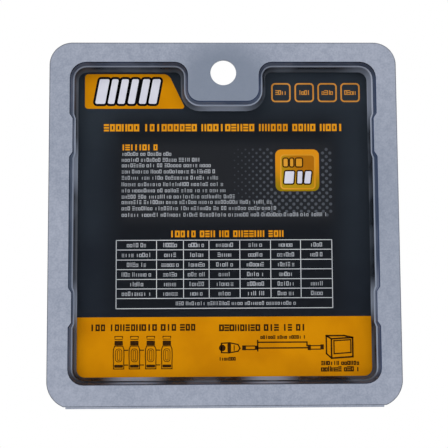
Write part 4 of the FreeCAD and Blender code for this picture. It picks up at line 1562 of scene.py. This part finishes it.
    def square_badge(self) -> None:
        """Square badge: glowing orange frame, a darker panel with a keyline, and two rows of marks."""
        frame = MeshMaker("square_badge_field")
        frame.prism(self.square.outline(1.9, 8), self.sheet(1), self.film)
        self.place(frame, self.paint.badge_glow)
        panel = MeshMaker("square_badge_panel")
        inner = Box(self.square.left + 1.95, self.square.right - 1.6, self.square.low + 1.0, self.square.high - 2.0)
        panel.prism(inner.outline(0.9), self.sheet(2), self.film)
        self.place(panel, self.paint.badge_panel)
        keyline = MeshMaker("square_badge_keyline")
        keyline.frame(inner.within(-0.42).outline(1.25), inner.outline(0.9), self.sheet(2), self.film)
        self.place(keyline, self.paint.orange_light)
        dark = MeshMaker("square_badge_outlines")
        upper = MeshMaker("square_badge_upper_marks")
        lower = MeshMaker("square_badge_lower_marks")
        for left, right in ((19.2, 20.5), (21.3, 22.3), (23.2, 25.1)):
            mark = Outline.rectangle(left, right, -29.4, -26.9, 0.3)
            dark.prism(mark.inset(-0.4).points(4), self.sheet(3), self.film)
            upper.prism(mark.points(4), self.sheet(4), self.film)
        for left, right, lean in ((19.3, 22.2, 0.4), (23.5, 25.0, 0.2), (25.7, 27.6, 0.5)):
            mark = Outline((
                Corner(left, -34.9, 0.3), Corner(right, -34.9, 0.3),
                Corner(right + lean, -31.0, 0.3), Corner(left + lean, -31.0, 0.3),
            ))
            dark.prism(mark.inset(-0.45).points(4), self.sheet(3), self.film)
            lower.prism(mark.points(4), self.sheet(4), self.film)
        self.place(dark, self.paint.brown)
        self.place(upper, self.paint.orange_light)
        self.place(lower, self.paint.white)

    def band_headings(self) -> None:
        """Dark headings and labels on the orange band."""
        maker = MeshMaker("band_headings")
        ink = self.paint.brown
        self.write(maker, Box(-42.3, -9.0, -81.5, -79.4), BOLD_TYPE, 31, 1, ink)
        self.write(maker, Box(-1.75, 25.65, -81.7, -79.6), BOLD_TYPE, 37, 1, ink)
        for index, box in enumerate((
            Box(11.2, 25.5, -84.2, -83.1), Box(-1.8, 3.5, -90.9, -89.8),
            Box(30.2, 42.3, -92.5, -91.2), Box(30.2, 42.3, -94.5, -92.9),
        )):
            self.write(maker, box, LABEL_TYPE, 61 + index, 1, ink)
        self.place(maker, ink)

    def unit_drawing(self, maker: MeshMaker, x: float) -> None:
        """One balun seen from the front: cap, ring, barrel, oval and foot."""
        self.line(maker, [(x - 1.2, -83.7), (x - 1.2, -83.2), (x + 1.2, -83.2), (x + 1.2, -83.7)], 0.24, 1)
        self.line(maker, [(x - 1.15, -84.1), (x + 1.15, -84.1)], 0.22, 1)
        maker.prism(Box(x - 1.3, x + 1.3, -86.0, -84.55).outline(0.2, 3), self.sheet(1), self.film)
        barrel = [
            (x - 1.25, -86.2), (x - 1.62, -87.2), (x - 1.68, -89.2), (x - 1.6, -91.4), (x - 1.62, -93.3),
            (x + 1.62, -93.3), (x + 1.6, -91.4), (x + 1.68, -89.2), (x + 1.62, -87.2), (x + 1.25, -86.2),
        ]
        self.line(maker, barrel, 0.28, 1, closed=True)
        maker.frame(
            Box(x - 1.08, x + 1.08, -91.2, -87.0).outline(0.9), Box(x - 0.88, x + 0.88, -91.0, -87.2).outline(0.75),
            self.sheet(1), self.film,
        )
        maker.frame(
            Box(x - 0.46, x + 0.46, -90.7, -87.5).outline(0.3), Box(x - 0.28, x + 0.28, -90.52, -87.68).outline(0.18),
            self.sheet(1), self.film,
        )
        maker.prism(Box(x - 1.35, x + 1.35, -92.9, -92.0).outline(0.2, 3), self.sheet(1), self.film)

    def band_drawings(self) -> None:
        """Small line drawings on the orange band: four joined units, and a camera wired to a screen."""
        maker = MeshMaker("band_drawings")
        for x in self.unit_drawings:
            self.unit_drawing(maker, x)
        for x in self.unit_drawings[:-1]:
            for z in (-87.5, -92.1):
                self.line(maker, [(x + 1.85, z), (x + 2.85, z)], 0.32, 1)
        camera = [(-1.0, -85.5), (1.6, -85.35), (4.2, -85.9), (4.8, -87.1), (4.2, -88.0), (1.4, -88.5), (-1.0, -88.4)]
        self.line(maker, camera, 0.38, 1, closed=True)
        maker.prism(circle(-0.75, -86.95, 1.05, 16), self.sheet(1), self.film)
        maker.prism(Box(0.9, 2.0, -88.3, -85.5).outline(0.3, 3), self.sheet(1), self.film)
        self.line(maker, [(3.0, -86.3), (3.0, -87.7)], 0.3, 1)
        for box in (Box(5.5, 6.7, -87.7, -86.2), Box(9.5, 10.4, -87.6, -86.3), Box(26.1, 27.1, -87.8, -86.1), Box(30.1, 31.2, -87.6, -86.0)):
            maker.prism(box.outline(0.15, 3), self.sheet(1), self.film)
        for left, right in ((6.7, 9.5), (27.1, 30.1)):
            self.line(maker, [(left, -87.5), (right, -87.5)], 0.32, 1)
            self.line(maker, [(left, -86.4), (right, -86.4)], 0.32, 1)
        self.line(maker, [(10.4, -87.9), (10.4, -84.7)], 0.42, 1)
        self.line(maker, [(10.4, -85.25), (25.9, -85.25), (25.9, -86.4)], 0.42, 1)
        self.line(maker, [(10.4, -87.05), (26.1, -87.05)], 0.42, 1)
        outer = [(33.6, -84.3), (40.3, -83.9), (40.3, -89.9), (33.6, -90.35)]
        self.line(maker, outer, 0.5, 1, closed=True)
        self.line(maker, [(34.4, -84.9), (39.7, -84.6), (39.7, -88.6), (34.4, -88.95)], 0.38, 1, closed=True)
        self.line(maker, [(33.6, -84.3), (32.0, -83.3), (37.6, -83.3), (40.3, -83.9)], 0.5, 1)
        self.line(maker, [(32.0, -83.3), (32.0, -88.9), (33.6, -90.35)], 0.45, 1)
        self.place(maker, self.paint.brown)

    def dot_size(self, x: float, z: float) -> float:
        """Share of its full size that a dot has at a place: full beside the square badge, none far off."""
        near = max(self.square.left - x, x - self.square.right, self.square.low - z, z - self.square.high)
        area = self.dot_field
        if near < 0.3 or not (area.left < x < area.right and area.low < z < area.high):
            return 0.0
        aside = max(0.0, self.square.left - x)
        above = max(0.0, z - self.square.high) if x < self.square.right else 0.0
        return max(0.0, 1.0 - aside / self.dot_fade_mm - above / 4.0)

    def halftone(self) -> None:
        """Staggered dots below and beside the square badge, which shrink away from it."""
        points = []
        sizes = []
        for row in range(self.dot_rows):
            for column in range(self.dot_columns):
                x = self.square.right + self.dot_pitch * (4 - column + (row % 2) / 2)
                z = self.square.high - self.dot_pitch / 2 * row
                size = self.dot_size(x, z)
                if size > 0.25:
                    points.append((x, self.sheet(0), z))
                    sizes.append(size)
        ink = self.paint.dot
        mesh = DotStamp().press(
            points, {"Dot Radius": self.dot_radius * MM, "Film": self.film * MM / 2, "Ink": ink}, sizes
        )
        maker = MeshMaker("halftone_dots")
        maker.bm.from_mesh(mesh)
        bpy.data.meshes.remove(mesh)
        self.place(maker, ink)

    def build(self) -> None:
        """Lays the print down, field by field."""
        self.orange_fields()
        self.display_band()
        self.badge_marks()
        self.halftone()
        self.headings()
        self.list_text()
        self.table()
        self.square_badge()
        self.band_headings()
        self.band_drawings()


@dataclass
class Studio:
    """Camera, lamps, pale floor and white surroundings."""

    camera_mm: tuple[float, float, float] = (-9.03, -365.85, -89.27)
    aim_mm: tuple[float, float, float] = (-0.07, 0.0, -48.35)
    roll_deg: float = 0.354
    lens_mm: float = 94.42
    sensor_mm: float = 36.0
    floor_z: float = -0.27
    floor_radius: float = 0.42

    def camera(self) -> None:
        """Places the camera where the photograph was taken from."""
        data = bpy.data.cameras.new("camera")
        data.lens = self.lens_mm
        data.sensor_width = self.sensor_mm
        data.clip_start = 0.01
        camera = bpy.data.objects.new("camera", data)
        bpy.context.scene.collection.objects.link(camera)
        place = Vector(self.camera_mm) * MM
        aim = Vector(self.aim_mm) * MM
        turn = (aim - place).to_track_quat("-Z", "Y").to_matrix().to_4x4()
        roll = Matrix.Rotation(math.radians(-self.roll_deg), 4, "Z")
        camera.matrix_world = Matrix.Translation(place) @ turn @ roll
        bpy.context.scene.camera = camera

    def lamp(self, name: str, place: Sequence[float], size: float, watts: float, tint: Sequence[float]) -> None:
        """A soft square lamp aimed at the pack."""
        data = bpy.data.lights.new(name, "AREA")
        data.shape = "SQUARE"
        data.size = size
        data.energy = watts
        data.color = tint
        lamp = bpy.data.objects.new(name, data)
        bpy.context.scene.collection.objects.link(lamp)
        target = Vector(self.aim_mm) * MM
        turn = (target - Vector(place)).to_track_quat("-Z", "Y").to_matrix().to_4x4()
        lamp.matrix_world = Matrix.Translation(place) @ turn

    def lamps(self) -> None:
        """A soft key from the upper left, a fill, and two lamps for the display side."""
        self.lamp("key", (-0.7, -0.9, 0.7), 0.6, 7.5, (1.0, 0.98, 0.96))
        self.lamp("fill", (0.9, -0.8, 0.1), 0.8, 4.2, (0.95, 0.97, 1.0))
        self.lamp("display_key", (0.8, 0.9, 0.7), 0.6, 7.5, (1.0, 0.98, 0.96))
        self.lamp("display_fill", (-0.9, 0.8, 0.1), 0.8, 4.2, (0.95, 0.97, 1.0))

    def surroundings(self, level: float = 0.52) -> None:
        """White to the eye, to gloss and through clear sheet; a plain level for what it lights."""
        world = bpy.data.worlds.new("studio")
        bpy.context.scene.world = world
        world.use_nodes = True
        tree = world.node_tree
        tree.nodes.clear()
        path = tree.nodes.new("ShaderNodeLightPath")
        seen = tree.nodes.new("ShaderNodeMath")
        seen.operation = "MAXIMUM"
        tree.links.new(path.outputs["Is Camera Ray"], seen.inputs[0])
        tree.links.new(path.outputs["Is Glossy Ray"], seen.inputs[1])
        through = tree.nodes.new("ShaderNodeMath")
        through.operation = "MAXIMUM"
        tree.links.new(seen.outputs[0], through.inputs[0])
        tree.links.new(path.outputs["Is Transmission Ray"], through.inputs[1])
        lit = tree.nodes.new("ShaderNodeBackground")
        lit.inputs["Color"].default_value = (0.98, 0.99, 1.0, 1.0)
        lit.inputs["Strength"].default_value = level
        white = tree.nodes.new("ShaderNodeBackground")
        white.inputs["Color"].default_value = (1.0, 1.0, 1.0, 1.0)
        mix = tree.nodes.new("ShaderNodeMixShader")
        tree.links.new(through.outputs[0], mix.inputs[0])
        tree.links.new(lit.outputs[0], mix.inputs[1])
        tree.links.new(white.outputs[0], mix.inputs[2])
        output = tree.nodes.new("ShaderNodeOutputWorld")
        tree.links.new(mix.outputs[0], output.inputs[0])

    def floor(self) -> None:
        """A round pale floor below the hanging pack, which fades into white at its rim."""
        bm = bmesh.new()
        bmesh.ops.create_circle(bm, cap_ends=True, segments=96, radius=self.floor_radius)
        bmesh.ops.translate(bm, verts=bm.verts, vec=(0, 0, self.floor_z))
        mesh = bpy.data.meshes.new("floor")
        bm.to_mesh(mesh)
        bm.free()
        floor = bpy.data.objects.new("floor", mesh)
        bpy.context.scene.collection.objects.link(floor)
        s = Shader("pale_floor")
        axes = s.axes()
        square = s.math("ADD", s.math("POWER", axes.outputs["X"], 2.0), s.math("POWER", axes.outputs["Y"], 2.0))
        radius = s.math("SQRT", square)
        fade = s.ramp(radius, self.floor_radius * 0.35, self.floor_radius * 0.98)
        matt = s.add("ShaderNodeBsdfDiffuse")
        matt.inputs["Color"].default_value = (0.86, 0.86, 0.87, 1.0)
        glow = s.add("ShaderNodeEmission")
        path = s.add("ShaderNodeLightPath")
        seen = s.math("MAXIMUM", path.outputs["Is Camera Ray"], path.outputs["Is Glossy Ray"])
        mix = s.add("ShaderNodeMixShader")
        s.join(s.math("MULTIPLY", fade, seen), mix.inputs[0])
        s.join(matt.outputs[0], mix.inputs[1])
        s.join(glow.outputs[0], mix.inputs[2])
        mesh.materials.append(s.close(mix))

    def build(self) -> None:
        """Sets up the whole studio."""
        scene = bpy.context.scene
        scene.view_settings.view_transform = "Standard"
        self.camera()
        self.lamps()
        self.surroundings()
        self.floor()


def build_halves(form: PackForm, paint: Paint) -> None:
    """Makes both halves of the clamshell and the fold between them."""
    FormedHalf(
        form=form,
        name="window_half_sheet",
        node="back_shell",
        body=Body.WINDOW,
        flange_depth=-0.5,
        steps=(
            Step(0.0, -0.5, Region.BEND_LINE, Region.OUTER_WALL),
            Step(0.7, 1.4, Region.LEDGE, Region.LEDGE),
            Step(1.05, 1.4, Region.LEDGE, Region.INNER_WALL),
            Step(1.95, 3.9, Region.INNER_WALL, Region.CLEAR),
        ),
        notch_depths=((-0.5, 1.0), (1.4, 0.55), (3.9, 0.05)),
    ).build(paint.window_regions())
    BlisterHalf(
        form=form,
        name="display_half_sheet",
        node="front_shell",
        body=Body.DISPLAY,
        flange_depth=0.1,
        steps=(
            Step(-0.8, 0.1, Region.BEND_LINE, Region.OUTER_WALL),
            Step(0.6, 5.2, Region.LEDGE, Region.CLEAR),
        ),
        notch_depths=((0.1, 0.8), (5.2, 0.05)),
        blister_steps=(
            Step(0.0, 5.2, Region.BLISTER, Region.BLISTER),
            Step(0.9, 19.5, Region.BLISTER, Region.BLISTER),
            Step(2.4, 21.0, Region.BLISTER, Region.BLISTER),
        ),
    ).build(paint.display_regions())
    LivingHinge(form).build(paint.flange)


def main() -> None:
    """Builds the looks of the pack round its frame."""
    logging.basicConfig(level=logging.INFO, format="%(message)s")
    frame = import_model()
    LOG.info("frame: %d nodes", len(frame["nodes"]))
    paint = Paint()
    Studio().build()
    form = PackForm()
    build_halves(form, paint)
    CardPrint(paint).build()
    for name, node in frame["nodes"].items():
        node.data.materials.clear()
        node.data.materials.append(paint.of_node(name))


if __name__ == "__main__":
    main()
